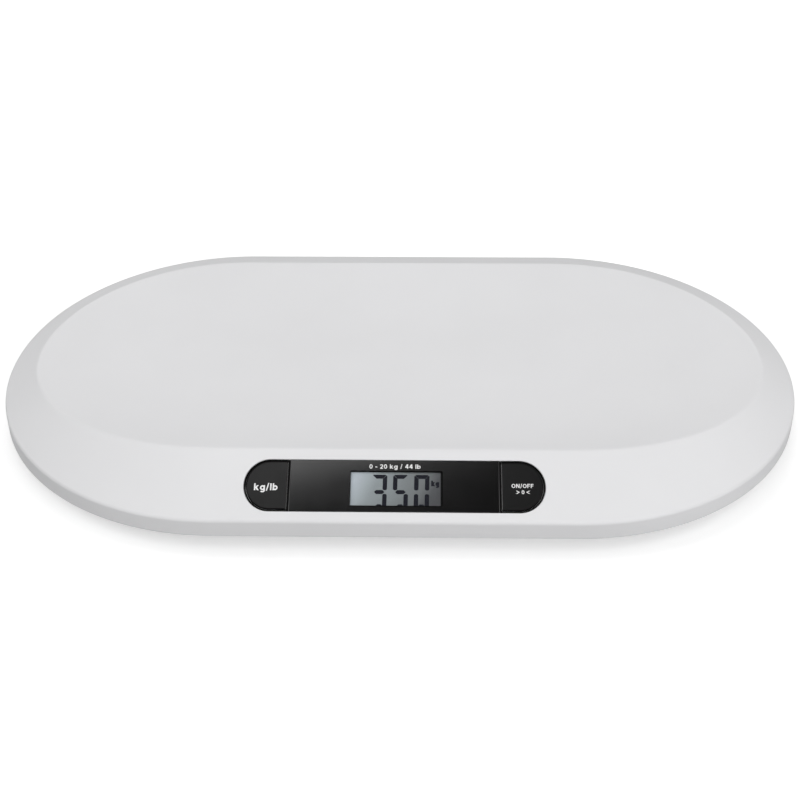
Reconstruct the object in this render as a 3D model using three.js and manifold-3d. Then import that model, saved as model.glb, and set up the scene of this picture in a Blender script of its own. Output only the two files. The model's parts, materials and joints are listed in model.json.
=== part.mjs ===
// A digital baby weighing scale: a shallow tray with a display panel, on four load cell feet.
// Millimetres. X runs along the tray, Y from the panel to the back, Z up from the ground.

import * as THREE from "three";
import { mergeVertices } from "three/addons/utils/BufferGeometryUtils.js";
import Module from "manifold-3d";

const wasm = await Module();
wasm.setup();

// Tray: outside sizes
const trayLength = 550;
const trayDepth = 320;
const skirtBottom = 16;
const shoulderHeight = 28.7;
const crestHeight = 50.5;
const crestInset = 45.7;
const crestEndInset = 22.75;
const crestEndDrop = 7.1;
const dishFloorHeight = 41;
const dishFloorHalfWidth = 30;
const dishFloorEndReach = 36;
const shoulderRadius = 3;
const crestRadius = 4;
const trayWall = 2.5;
const shellPostRadius = 4.5;

// Display panel in the front band
const panelLength = 189;
const panelWidth = 35.4;
const panelEndReach = 16.3;
const panelSetback = 22.5;
const panelThickness = 2;
const panelRim = 1;
const keyLength = 27.5;
const splitCornerRadius = 1.2;
const seatThickness = 2.7;
const seatMargin = 3;

// Display window, its lens and the cell behind it
const windowLength = 57.9;
const windowWidth = 24.1;
const windowOffsetX = 1.15;
const windowOffsetY = -1.9;
const windowCornerRadius = 0.8;
const windowPlate = 1.2;
const lensRecess = 0.25;
const cellLength = 60.5;
const cellWidth = 27;
const cellThickness = 2.8;
const holderWall = 2;
const holderInset = 1;
const zebraWidth = 2.4;
const zebraEndGap = 1.5;

// Buttons
const buttonPlate = 1.5;
const buttonBevel = 0.6;
const buttonTravel = 0.5;
const buttonPostRadius = 3.6;
const buttonPostSetback = 14;
const barbRadius = 4.5;
const barbHeight = 1.5;

// Display board
const boardEndInset = 6.5;
const boardWidth = 26;
const boardThickness = 1.6;
const boardCornerRadius = 2;
const boardPostRadius = 2.75;
const boardPostOffset = 25;
const boardPostInset = 4;
const chipSize = 12;
const chipThickness = 1.4;
const switchSize = 6;
const switchHeight = 2.3;
const switchStemRadius = 1.7;
const boardScrewHeadRadius = 2.4;
const boardScrewHeadHeight = 1.5;
const boardScrewRadius = 0.85;
const boardScrewReach = 5;

// Base cover
const baseThickness = 2.5;
const baseFloorBottom = 11.5;
const baseFlangeBottom = 17;
const baseLipHeight = 2;
const baseLipThickness = 2;
const baseEdgeGap = 0.4;
const panInset = 31;
const panSlope = 4;
const panCapReach = 40;
const baseBossRadius = 5;
const baseBossHeight = 5;
const baseScrewHeadRadius = 3;
const baseScrewHeadHeight = 2.2;
const baseScrewHeadSink = 0.5;
const baseScrewRadius = 1.5;
const baseScrewReach = 10;
const endScrewMargin = 15.5;
const endScrewAngle = 19.5;
const sideScrewMargin = 21;
const sideScrewAngle = 88.4;

// Feet
const footMargin = 32.8;
const footAngle = 62.1;
const padRadius = 19;
const padThickness = 2.5;
const padChamfer = 0.8;
const cupRadius = 22;
const cupFlangeRadius = 24.3;
const cupFlangeHeight = 1.5;
const cupPlate = 2;
const cupWall = 2;
const cupDomeRadius = 4.5;
const wellRadius = 25;
const wellWall = 2;
const wellBottom = 5.5;
const wellLipHeight = 1.2;
const cellPlateSize = 34;
const cellPlateThickness = 2.2;
const cellPlateCorner = 3;
const tongueLength = 22;
const tongueWidth = 12;
const tongueSlot = 2;

// Battery bay and door
const batteryCount = 4;
const batteryRadius = 5.25;
const batteryLength = 44.5;
const batteryNubRadius = 1.9;
const batteryNubLength = 1.2;
const batterySpacing = 0.4;
const bayLength = 54;
const bayWall = 2;
const bayHeadroom = 0.8;
const doorLength = 62;
const doorWidth = 52;
const doorThickness = 2.6;
const railWall = 2.5;
const railLip = 2;
const railLipThickness = 1.2;
const ridgeCount = 3;
const ridgeLength = 14;
const ridgeWidth = 1.6;
const ridgeHeight = 0.6;
const ridgePitch = 4;
const ridgeStart = 14;
const contactThickness = 0.4;
const contactWidth = 8;
const contactHalfHeight = 4.4;

// Leads inside the housing
const leadRadius = 0.9;
const leadHoleRadius = 1.5;
const leadBend = 3.4;
const leadLift = 0.4;

// Clearances, and how far a cut runs past the face it opens
const gap = 0.3;
const overrun = 1;
const mergeDistance = 1e-4;

// Faceting: counts of straight steps
const endSteps = 20;
const shoulderSteps = 4;
const crestSteps = 3;
const dishSteps = 5;
const panelEndSteps = 7;
const cornerSteps = 2;
const roundSteps = 12;
const footSteps = 24;
const leadQuarterSteps = 2;
const leadStepsPerStretch = 2;

// Places worked out from the sizes above
const straightHalf = (trayLength - trayDepth) / 2;
const outerReach = trayDepth / 2;
const panReach = outerReach - panInset;
const bandAngle = Math.atan2(crestHeight - shoulderHeight, crestInset);
const keySplit = panelLength / 2 - keyLength;
const buttonPostAt = panelLength / 2 - buttonPostSetback;
const boardLength = panelLength - 2 * boardEndInset;
const boardPostX = cellLength / 2 + boardPostOffset;
const boardPostY = boardWidth / 2 - boardPostInset;
const seatTop = -(panelThickness + gap);
const seatBottom = seatTop - seatThickness;
const barbTop = seatBottom - gap;
const barbBottom = barbTop - barbHeight;
const stemTop = barbBottom - gap;
const switchTop = stemTop - buttonTravel;
const switchBottom = switchTop - switchHeight;
const boardTop = switchBottom - gap;
const boardBottom = boardTop - boardThickness;
const cellTop = -(windowPlate + gap);
const cellBottom = cellTop - cellThickness;
const baseFloorTop = baseFloorBottom + baseThickness;
const bossTop = baseFloorBottom + baseBossHeight;
const shellPostBottom = bossTop + gap;
const screwSeat = baseFloorBottom + baseScrewHeadSink + baseScrewHeadHeight;
const cellPlateTop = baseFloorBottom - gap;
const cellPlateBottom = cellPlateTop - cellPlateThickness;
const cupTop = cellPlateBottom - gap;
const cupBottom = padThickness + gap;
const doorTop = baseFloorBottom - gap;
const doorBottom = doorTop - doorThickness;
const batteryAxis = doorTop + batterySpacing + batteryRadius;
const batteryPitch = 2 * batteryRadius + batterySpacing;
const bayWidth = batteryCount * batteryPitch + batterySpacing;
const bayRoof = batteryAxis + batteryRadius + bayHeadroom;
const railHeight = baseFloorBottom - doorBottom + gap + railLipThickness;

// Materials
function plastic(color, roughness) {
  return new THREE.MeshStandardMaterial({ color, roughness, metalness: 0 });
}

function metal(color, roughness) {
  return new THREE.MeshStandardMaterial({ color, roughness, metalness: 1 });
}

const trayWhite = plastic(0xeceef0, 0.38);
const baseWhite = plastic(0xe2e4e6, 0.55);
const panelBlack = plastic(0x0c0c0d, 0.12);
const buttonBlack = plastic(0x0e0e0f, 0.16);
const lensClear = plastic(0xdfe6ea, 0.05);
const cellGrey = plastic(0x8c939a, 0.25);
const holderWhite = plastic(0xd8d8d4, 0.6);
const rubberGrey = plastic(0x5c5f62, 0.85);
const zebraGrey = plastic(0x3a3b3d, 0.8);
const boardGreen = plastic(0x1d5c38, 0.45);
const chipBlack = plastic(0x1a1a1b, 0.5);
const batteryBlue = plastic(0x35506e, 0.35);
const leadRed = plastic(0xa32a22, 0.5);
const steel = metal(0xb9bcc0, 0.35);

// Drops what is not position, joins shared corners and leaves out triangles with no area
function closed(geometry) {
  geometry.deleteAttribute("normal");
  geometry.deleteAttribute("uv");
  const merged = mergeVertices(geometry, mergeDistance);
  const corners = merged.index.array;
  const kept = [];
  for (let i = 0; i < corners.length; i += 3) {
    const [a, b, c] = corners.slice(i, i + 3);
    if (a !== b && b !== c && c !== a) {
      kept.push(a, b, c);
    }
  }
  merged.setIndex(kept);
  return facingOut(merged);
}

// Turns the triangles over where they enclose a negative volume
function facingOut(geometry) {
  const place = geometry.attributes.position;
  const corners = Array.from(geometry.index.array);
  const [a, b, c] = [new THREE.Vector3(), new THREE.Vector3(), new THREE.Vector3()];
  let volume = 0;
  for (let i = 0; i < corners.length; i += 3) {
    a.fromBufferAttribute(place, corners[i]);
    b.fromBufferAttribute(place, corners[i + 1]);
    c.fromBufferAttribute(place, corners[i + 2]);
    volume += a.dot(b.cross(c));
  }
  if (volume < 0) {
    for (let i = 0; i < corners.length; i += 3) {
      [corners[i], corners[i + 1]] = [corners[i + 1], corners[i]];
    }
    geometry.setIndex(corners);
  }
  geometry.computeVertexNormals();
  return geometry;
}

function solid(geometry) {
  const shape = closed(geometry.clone());
  return new wasm.Manifold(new wasm.Mesh({
    numProp: 3,
    vertProperties: new Float32Array(shape.attributes.position.array),
    triVerts: new Uint32Array(shape.index.array),
  }));
}

function geometryOf(manifold) {
  const mesh = manifold.getMesh();
  const geometry = new THREE.BufferGeometry();
  geometry.setAttribute("position", new THREE.BufferAttribute(mesh.vertProperties, mesh.numProp));
  geometry.setIndex(new THREE.BufferAttribute(mesh.triVerts, 1));
  geometry.computeVertexNormals();
  return geometry;
}

function joined(first, others) {
  return others.reduce((sum, other) => sum.add(solid(other)), first);
}

function cut(first, others) {
  return others.reduce((rest, other) => rest.subtract(solid(other)), first);
}

function piece(name, geometry, material) {
  const mesh = new THREE.Mesh(geometry, material);
  mesh.name = name;
  return mesh;
}

// Simple solids, standing on Z
function turned(profile, steps) {
  const points = profile.map(([radius, height]) => new THREE.Vector2(radius, height));
  return closed(new THREE.LatheGeometry(points, steps).rotateX(Math.PI / 2));
}

function column(radius, bottom, top, steps) {
  return turned([[0, bottom], [radius, bottom], [radius, top], [0, top]], steps);
}

function slab(outline, bottom, top, curveSegments = roundSteps) {
  const settings = { depth: top - bottom, bevelEnabled: false, curveSegments };
  return closed(new THREE.ExtrudeGeometry(outline, settings).translate(0, 0, bottom));
}

function block(lengthX, lengthY, bottom, top) {
  const box = new THREE.BoxGeometry(lengthX, lengthY, top - bottom);
  return closed(box.translate(0, 0, (bottom + top) / 2));
}

// Outlines
function stadium(length, width, endReach) {
  const half = length / 2 - endReach;
  const quarter = Math.PI / 2;
  const outline = new THREE.Shape();
  outline.moveTo(-half, -width / 2);
  outline.lineTo(half, -width / 2);
  outline.absellipse(half, 0, endReach, width / 2, -quarter, quarter, false, 0);
  outline.lineTo(-half, width / 2);
  outline.absellipse(-half, 0, endReach, width / 2, quarter, 3 * quarter, false, 0);
  return outline;
}

function roundedRectangle(length, width, radius) {
  const [x, y] = [length / 2 - radius, width / 2 - radius];
  const quarter = Math.PI / 2;
  const outline = new THREE.Shape();
  outline.absarc(x, y, radius, 0, quarter, false);
  outline.absarc(-x, y, radius, quarter, 2 * quarter, false);
  outline.absarc(-x, -y, radius, 2 * quarter, 3 * quarter, false);
  outline.absarc(x, -y, radius, 3 * quarter, 4 * quarter, false);
  return outline;
}

// The D at one end of the panel, drawn for the end at +X, a margin inside the panel's edge
function buttonOutline(margin) {
  const quarter = Math.PI / 2;
  const endCentre = panelLength / 2 - panelEndReach;
  const halfWidth = panelWidth / 2 - margin;
  const corner = splitCornerRadius;
  const start = keySplit + margin - panelRim;
  const outline = new THREE.Shape();
  outline.moveTo(start + corner, -halfWidth);
  outline.lineTo(endCentre, -halfWidth);
  outline.absellipse(endCentre, 0, panelEndReach - margin, halfWidth, -quarter, quarter, false, 0);
  outline.lineTo(start + corner, halfWidth);
  outline.absarc(start + corner, halfWidth - corner, corner, quarter, 2 * quarter, false);
  outline.absarc(start + corner, corner - halfWidth, corner, 2 * quarter, 3 * quarter, false);
  return outline;
}

// A strip of even thickness along a path of [x, y] points, as a closed outline
function stripOutline(path, thickness) {
  const sides = [[], []];
  path.forEach(([x, y], index) => {
    const [fromX, fromY] = path[Math.max(index - 1, 0)];
    const [toX, toY] = path[Math.min(index + 1, path.length - 1)];
    const along = Math.hypot(toX - fromX, toY - fromY);
    const [sideX, sideY] = [(fromY - toY) / along, (toX - fromX) / along];
    sides[0].push(new THREE.Vector2(x + sideX * thickness / 2, y + sideY * thickness / 2));
    sides[1].unshift(new THREE.Vector2(x - sideX * thickness / 2, y - sideY * thickness / 2));
  });
  return new THREE.Shape([...sides[0], ...sides[1]]);
}

// Sections: lists of [reach, height], reach being the distance from the tray's middle lines

// An arc that touches both lines of the corner at `corner`
function roundedCorner(before, corner, after, radius, steps) {
  const [p, c, q] = [before, corner, after].map(([x, y]) => new THREE.Vector2(x, y));
  const into = c.clone().sub(p).normalize();
  const out = q.clone().sub(c).normalize();
  const turn = Math.acos(into.dot(out));
  const tangent = radius * Math.tan(turn / 2);
  const inward = out.clone().sub(into).normalize();
  const centre = c.clone().addScaledVector(inward, Math.hypot(radius, tangent));
  const start = c.clone().addScaledVector(into, -tangent).sub(centre);
  const side = Math.sign(into.cross(out));
  const points = [];
  for (let step = 0; step <= steps; step++) {
    const point = start.clone().rotateAround(new THREE.Vector2(), side * turn * step / steps);
    points.push([centre.x + point.x, centre.y + point.y]);
  }
  return points;
}

// From the skirt's foot over the shoulder, up the band, over the crest and down to the dish's floor
function traySection(crestReach, crestTop, floorReach) {
  const foot = [outerReach, skirtBottom];
  const shoulder = [outerReach, shoulderHeight];
  const crest = [crestReach, crestTop];
  const rise = crestTop - dishFloorHeight;
  const run = crestReach - floorReach;
  const halfway = [crestReach - run / 2, dishFloorHeight];
  const shoulderArc = roundedCorner(foot, shoulder, crest, shoulderRadius, shoulderSteps);
  const crestArc = roundedCorner(shoulder, crest, halfway, crestRadius, crestSteps);
  const dishStart = crestArc[crestSteps][0];
  const dish = [];
  for (let step = 1; step <= dishSteps; step++) {
    const reach = dishStart + (floorReach - dishStart) * step / dishSteps;
    const share = (reach - floorReach) / run;
    dish.push([reach, dishFloorHeight + rise * share * share]);
  }
  return [foot, ...shoulderArc, ...crestArc, ...dish];
}

// The same section moved into the wall by an even thickness
function insetSection(section, thickness) {
  const foot = section[0];
  const last = section[section.length - 1];
  const before = [foot[0], foot[1] - overrun];
  const after = [last[0] - overrun, last[1]];
  const padded = [before, ...section, after].map(([x, y]) => new THREE.Vector2(x, y));
  return section.map((point, index) => {
    const into = padded[index + 1].clone().sub(padded[index]).normalize();
    const out = padded[index + 2].clone().sub(padded[index + 1]).normalize();
    const middle = into.clone().add(out).normalize();
    const reach = thickness / middle.dot(into);
    return [point[0] - middle.y * reach, point[1] + middle.x * reach];
  });
}

// One closed ring of the tray's outline: straight sides, and round ends whose height eases over
// from the sides' height to the ends'
function ring([sideReach, sideHeight], [endReach, endHeight]) {
  const points = [];
  for (const end of [1, -1]) {
    for (let step = 0; step <= endSteps; step++) {
      const angle = Math.PI * (step / endSteps - 1 / 2);
      const outward = Math.cos(angle);
      const x = end * (straightHalf + endReach * outward);
      const y = end * sideReach * Math.sin(angle);
      const z = sideHeight + (endHeight - sideHeight) * outward * outward;
      points.push(new THREE.Vector3(x, y, z));
    }
  }
  return points;
}

// A solid through rings of equal count, closed by a flat cap at its first and last ring
function loft(rings) {
  const count = rings[0].length;
  const place = rings.flat().flatMap((point) => point.toArray());
  const corners = [];
  for (let level = 0; level < rings.length - 1; level++) {
    for (let side = 0; side < count; side++) {
      const next = (side + 1) % count;
      const [a, b] = [level * count + side, level * count + next];
      const [c, d] = [b + count, a + count];
      corners.push(a, b, c, a, c, d);
    }
  }
  const lastRing = (rings.length - 1) * count;
  for (let side = 1; side < count - 1; side++) {
    corners.push(0, side + 1, side);
    corners.push(lastRing, lastRing + side, lastRing + side + 1);
  }
  const geometry = new THREE.BufferGeometry();
  geometry.setAttribute("position", new THREE.Float32BufferAttribute(place, 3));
  geometry.setIndex(corners);
  return closed(geometry);
}

// The tray's outer surface, moved inwards by a thickness and down to a lowest height
function trayForm(thickness, lowest) {
  const side = traySection(outerReach - crestInset, crestHeight, dishFloorHalfWidth);
  const end = traySection(
    outerReach - crestEndInset, crestHeight - crestEndDrop, dishFloorEndReach);
  const sideInset = insetSection(side, thickness);
  const endInset = insetSection(end, thickness);
  sideInset[0][1] = lowest;
  endInset[0][1] = lowest;
  return loft(sideInset.map((point, index) => ring(point, endInset[index])));
}

// The display panel's own frame: its middle on the band's surface, Z out of the band
const panel = new THREE.Group();
panel.position.set(
  0,
  panelSetback - outerReach,
  shoulderHeight + panelSetback * Math.tan(bandAngle),
);
panel.rotation.x = bandAngle;
panel.updateMatrixWorld(true);

function onPanel(geometry) {
  return geometry.applyMatrix4(panel.matrix);
}

function atWindow(geometry) {
  return geometry.translate(windowOffsetX, windowOffsetY, 0);
}

function boardPostPlaces() {
  const places = [];
  for (const x of [-boardPostX, boardPostX]) {
    for (const y of [-boardPostY, boardPostY]) {
      places.push([x, y]);
    }
  }
  return places;
}

// A place on the base's pan: a margin in from the pan's edge, at an angle round the end's centre
function panPlace(margin, degrees) {
  const angle = THREE.MathUtils.degToRad(degrees);
  const reach = panReach - margin;
  return [straightHalf + reach * Math.cos(angle), reach * Math.sin(angle)];
}

function baseScrewPlaces() {
  const ends = panPlace(endScrewMargin, endScrewAngle);
  const sides = panPlace(sideScrewMargin, sideScrewAngle);
  return [ends, sides].flatMap(([x, y]) => [[x, y], [-x, y], [-x, -y], [x, -y]]);
}

function footPlaces() {
  const [x, y] = panPlace(footMargin, footAngle);
  return [
    ["front_left", -x, -y],
    ["front_right", x, -y],
    ["rear_left", -x, y],
    ["rear_right", x, y],
  ];
}

// Tray shell: the white moulding, with the panel's seat, posts for the board and for the base
function trayShell() {
  const inside = trayForm(trayWall, skirtBottom - overrun);
  const core = solid(trayForm(trayWall / 2, skirtBottom));
  const hollow = cut(solid(trayForm(0, skirtBottom)), [inside]);

  const posts = baseScrewPlaces().map(([x, y]) => (
    column(shellPostRadius, shellPostBottom, crestHeight, roundSteps).translate(x, y, 0)));
  const seat = slab(
    stadium(panelLength + 2 * seatMargin, panelWidth + 2 * seatMargin, panelEndReach + seatMargin),
    seatBottom, -trayWall / 2, panelEndSteps);
  const boardPosts = boardPostPlaces().map(([x, y]) => (
    column(boardPostRadius, boardTop + gap, seatBottom + overrun, roundSteps).translate(x, y, 0)));
  const added = joined(joined(solid(onPanel(seat)), boardPosts.map(onPanel)), posts);
  const shell = hollow.add(added.intersect(core));

  const recess = slab(
    stadium(panelLength + 2 * gap, panelWidth + 2 * gap, panelEndReach + gap),
    seatTop, overrun, panelEndSteps);
  const cellHole = atWindow(slab(
    roundedRectangle(cellLength + 4 * gap, cellWidth + 4 * gap, windowCornerRadius),
    seatBottom - overrun, seatTop + overrun, cornerSteps));
  const buttonHoles = [-buttonPostAt, buttonPostAt].map((x) => (
    column(buttonPostRadius + gap, seatBottom - overrun, seatTop + overrun, roundSteps)
      .translate(x, 0, 0)));
  const boardPilots = boardPostPlaces().map(([x, y]) => (
    column(boardScrewRadius + gap, boardTop, boardBottom - gap + boardScrewReach + gap, roundSteps)
      .translate(x, y, 0)));
  const basePilots = baseScrewPlaces().map(([x, y]) => (
    column(
      baseScrewRadius + gap, shellPostBottom - overrun, screwSeat + baseScrewReach + gap,
      roundSteps).translate(x, y, 0)));
  const panelCuts = [recess, cellHole, ...buttonHoles, ...boardPilots].map(onPanel);
  return piece("tray_shell", geometryOf(cut(shell, [...panelCuts, ...basePilots])), trayWhite);
}

// Display panel and what sits in or behind it, in the panel's frame
function displayBezel() {
  const body = solid(slab(
    stadium(panelLength, panelWidth, panelEndReach), -panelThickness, 0, panelEndSteps));
  const keyHole = () => slab(
    buttonOutline(panelRim), -panelThickness - overrun, overrun, panelEndSteps);
  const window = atWindow(slab(
    roundedRectangle(windowLength, windowWidth, windowCornerRadius),
    -panelThickness - overrun, overrun, cornerSteps));
  const pocket = atWindow(slab(
    roundedRectangle(cellLength + 2 * gap, cellWidth + 2 * gap, windowCornerRadius),
    -panelThickness - overrun, -windowPlate, cornerSteps));
  const cuts = [keyHole().rotateZ(Math.PI), keyHole(), window, pocket];
  return piece("display_bezel", geometryOf(cut(body, cuts)), panelBlack);
}

function lcdLens() {
  const outline = roundedRectangle(
    windowLength - 2 * gap, windowWidth - 2 * gap, windowCornerRadius);
  return piece("lcd_lens", atWindow(slab(outline, -windowPlate, -lensRecess, cornerSteps)), lensClear);
}

function lcdCell() {
  const outline = roundedRectangle(cellLength, cellWidth, windowCornerRadius);
  return piece("lcd_cell", atWindow(slab(outline, cellBottom, cellTop, cornerSteps)), cellGrey);
}

// A frame that holds the cell off the board
function lcdHolder() {
  const [length, width] = [cellLength - 2 * holderInset, cellWidth - 2 * holderInset];
  const bottom = boardTop + gap;
  const top = cellBottom - gap;
  const frame = solid(block(length, width, bottom, top));
  const inside = block(
    length - 2 * holderWall, width - 2 * holderWall, bottom - overrun, top + overrun);
  return piece("lcd_holder", atWindow(geometryOf(cut(frame, [inside]))), holderWhite);
}

// The elastomer connector lies along the holder's upper wall
function zebraStrip() {
  const length = cellLength - 2 * (holderInset + holderWall + zebraEndGap);
  const upperWall = cellWidth / 2 - holderInset - holderWall;
  const strip = block(length, zebraWidth, boardTop + gap, cellBottom - gap)
    .translate(0, upperWall - gap - zebraWidth / 2, 0);
  return piece("zebra_strip", atWindow(strip), zebraGrey);
}

function button(name, side) {
  const margin = panelRim + gap;
  const inner = buttonOutline(margin + buttonBevel);
  const cap = solid(new THREE.ExtrudeGeometry(inner, {
    depth: buttonPlate - 2 * buttonBevel,
    bevelEnabled: true,
    bevelThickness: buttonBevel,
    bevelSize: buttonBevel,
    bevelSegments: 1,
    curveSegments: panelEndSteps,
  }).translate(0, 0, buttonBevel - buttonPlate));
  const post = turned([
    [0, barbBottom],
    [barbRadius - gap, barbBottom],
    [barbRadius, barbTop],
    [buttonPostRadius, barbTop],
    [buttonPostRadius, -buttonPlate / 2],
    [0, -buttonPlate / 2],
  ], roundSteps).translate(buttonPostAt, 0, 0);
  const whole = geometryOf(joined(cap, [post]));
  return piece(name, side > 0 ? whole : whole.rotateZ(Math.PI), buttonBlack);
}

function tactSwitch(name, side) {
  const body = new THREE.Shape(roundedRectangle(switchSize, switchSize, gap).getPoints(1));
  const hole = new THREE.Path().absarc(0, 0, switchStemRadius + gap, 0, 2 * Math.PI, true);
  body.holes.push(hole);
  const housing = slab(body, switchBottom, switchTop, roundSteps / 2);
  return piece(name, housing.translate(side * buttonPostAt, 0, 0), chipBlack);
}

function switchStem(name, side) {
  const stem = column(switchStemRadius, switchBottom + buttonTravel, stemTop, roundSteps);
  return piece(name, stem.translate(side * buttonPostAt, 0, 0), holderWhite);
}

function displayBoard() {
  const outline = roundedRectangle(boardLength, boardWidth, boardCornerRadius);
  const board = solid(slab(outline, boardBottom, boardTop, cornerSteps));
  const holes = boardPostPlaces().map(([x, y]) => (
    column(boardScrewRadius + gap, boardBottom - overrun, boardTop + overrun, roundSteps)
      .translate(x, y, 0)));
  return piece("display_board", geometryOf(cut(board, holes)), boardGreen);
}

function controllerChip() {
  const top = boardBottom - gap;
  return piece("controller_chip", block(chipSize, chipSize, top - chipThickness, top), chipBlack);
}

// A screw whose head's inner face is at the height `seat` and whose shank points up
function screw(name, headRadius, headHeight, radius, reach, seat) {
  const profile = [
    [0, seat - headHeight],
    [headRadius - headHeight / 3, seat - headHeight],
    [headRadius, seat - headHeight / 3],
    [headRadius, seat],
    [radius, seat],
    [radius, seat + reach - radius],
    [0, seat + reach],
  ];
  return piece(name, turned(profile, roundSteps), steel);
}

function boardScrew(index, [x, y]) {
  const mesh = screw(
    `board_screw_${index + 1}`, boardScrewHeadRadius, boardScrewHeadHeight, boardScrewRadius,
    boardScrewReach, boardBottom - gap);
  mesh.position.set(x, y, 0);
  return mesh;
}

function baseScrew(index, [x, y]) {
  const mesh = screw(
    `base_screw_${index + 1}`, baseScrewHeadRadius, baseScrewHeadHeight, baseScrewRadius,
    baseScrewReach, screwSeat);
  mesh.position.set(x, y, 0);
  return mesh;
}

// Base cover: a pan inside the skirt, with bosses, foot wells, the battery bay and door rails
function basePan() {
  const edge = outerReach - trayWall - baseEdgeGap;
  const flangeTop = baseFlangeBottom + baseThickness;
  const lipTop = flangeTop + baseLipHeight;
  const section = [
    [panCapReach, baseFloorBottom],
    [panReach, baseFloorBottom],
    [panReach + panSlope, baseFlangeBottom],
    [edge, baseFlangeBottom],
    [edge, lipTop],
    [edge - baseLipThickness, lipTop],
    [edge - baseLipThickness, flangeTop],
    [panReach + panSlope - overrun, flangeTop],
    [panReach - overrun, baseFloorTop],
    [panCapReach, baseFloorTop],
  ];
  return loft(section.map((point) => ring(point, point)));
}

function footWell() {
  const outer = wellRadius + wellWall;
  const opening = cupRadius + 2 * gap;
  return turned([
    [opening, wellBottom],
    [outer, wellBottom],
    [outer, baseFloorBottom + overrun],
    [wellRadius, baseFloorBottom + overrun],
    [wellRadius, wellBottom + wellLipHeight],
    [opening, wellBottom + wellLipHeight],
    [opening, wellBottom],
  ], footSteps);
}

function leadHole(x, y) {
  const inward = Math.sign(x) * (cellPlateSize / 2 + leadBend);
  return column(leadHoleRadius, baseFloorBottom - overrun, baseFloorTop + overrun, roundSteps)
    .translate(x - inward, y, 0);
}

function doorRails() {
  const outer = doorWidth / 2 + gap + railWall;
  const bottom = baseFloorBottom - railHeight;
  const top = baseFloorBottom + overrun;
  const start = -doorLength / 2 - gap - railWall;
  const length = doorLength / 2 - start;
  const middle = (start + doorLength / 2) / 2;
  const frame = solid(block(length, 2 * outer, bottom, top).translate(middle, 0, 0));
  const track = block(length, 2 * (outer - railWall), bottom + railLipThickness, top + overrun)
    .translate(middle + railWall, 0, 0);
  const mouth = block(length, 2 * (outer - railWall - railLip), bottom - overrun, top + overrun)
    .translate(middle + railWall, 0, 0);
  return geometryOf(cut(frame, [track, mouth]));
}

function baseCover() {
  const bay = block(
    bayLength + 2 * bayWall, bayWidth + 2 * bayWall, baseFloorTop - overrun, bayRoof + bayWall);
  const bosses = baseScrewPlaces().map(([x, y]) => (
    column(baseBossRadius, baseFloorTop - overrun, bossTop, roundSteps).translate(x, y, 0)));
  const wells = footPlaces().map(([, x, y]) => footWell().translate(x, y, 0));
  const whole = joined(solid(basePan()), [bay, ...bosses, ...wells, doorRails()]);

  const bayHollow = block(bayLength, bayWidth, baseFloorBottom - overrun, bayRoof);
  const sinks = baseScrewPlaces().map(([x, y]) => (
    column(baseScrewHeadRadius + gap, baseFloorBottom - overrun, screwSeat + gap, roundSteps)
      .translate(x, y, 0)));
  const holes = baseScrewPlaces().map(([x, y]) => (
    column(baseScrewRadius + gap, baseFloorBottom - overrun, bossTop + overrun, roundSteps)
      .translate(x, y, 0)));
  const leadHoles = footPlaces().map(([, x, y]) => leadHole(x, y));
  return piece(
    "base_cover", geometryOf(cut(whole, [bayHollow, ...sinks, ...holes, ...leadHoles])),
    baseWhite);
}

// One foot: rubber pad, cup with its pressing dome, and the load cell plate above it
function footPad(name) {
  const pad = turned([
    [0, 0],
    [padRadius - padChamfer, 0],
    [padRadius, padChamfer],
    [padRadius, padThickness],
    [0, padThickness],
  ], footSteps);
  return piece(`foot_pad_${name}`, pad, rubberGrey);
}

function footCup(name) {
  const plateTop = cupBottom + cupPlate;
  const flangeBottom = cupTop - cupFlangeHeight;
  const cup = turned([
    [0, cupBottom],
    [cupRadius - cupPlate / 2, cupBottom],
    [cupRadius, cupBottom + cupPlate / 2],
    [cupRadius, flangeBottom],
    [cupFlangeRadius, flangeBottom],
    [cupFlangeRadius, cupTop],
    [cupRadius - cupWall, cupTop],
    [cupRadius - cupWall, plateTop],
    [cupDomeRadius, plateTop],
    [cupDomeRadius, cupTop],
    [0, cupTop],
  ], footSteps);
  return piece(`foot_cup_${name}`, cup, baseWhite);
}

function loadCell(name) {
  const [halfLength, halfWidth] = [tongueLength / 2, tongueWidth / 2];
  const plate = new THREE.Shape(
    roundedRectangle(cellPlateSize, cellPlateSize, cellPlateCorner).getPoints(cornerSteps));
  plate.holes.push(new THREE.Path([
    new THREE.Vector2(-halfLength, -halfWidth - tongueSlot),
    new THREE.Vector2(-halfLength, -halfWidth),
    new THREE.Vector2(halfLength, -halfWidth),
    new THREE.Vector2(halfLength, halfWidth),
    new THREE.Vector2(-halfLength, halfWidth),
    new THREE.Vector2(-halfLength, halfWidth + tongueSlot),
    new THREE.Vector2(halfLength + tongueSlot, halfWidth + tongueSlot),
    new THREE.Vector2(halfLength + tongueSlot, -halfWidth - tongueSlot),
  ]));
  return piece(`load_cell_${name}`, slab(plate, cellPlateBottom, cellPlateTop), steel);
}

function foot([name, x, y]) {
  const group = new THREE.Group();
  group.add(footPad(name), footCup(name), loadCell(name));
  group.position.set(x, y, 0);
  return group;
}

// Battery bay: round cells side by side along X, alternating, with leaf contacts at both ends
function batteryPlace(index) {
  return (index - (batteryCount - 1) / 2) * batteryPitch;
}

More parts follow.
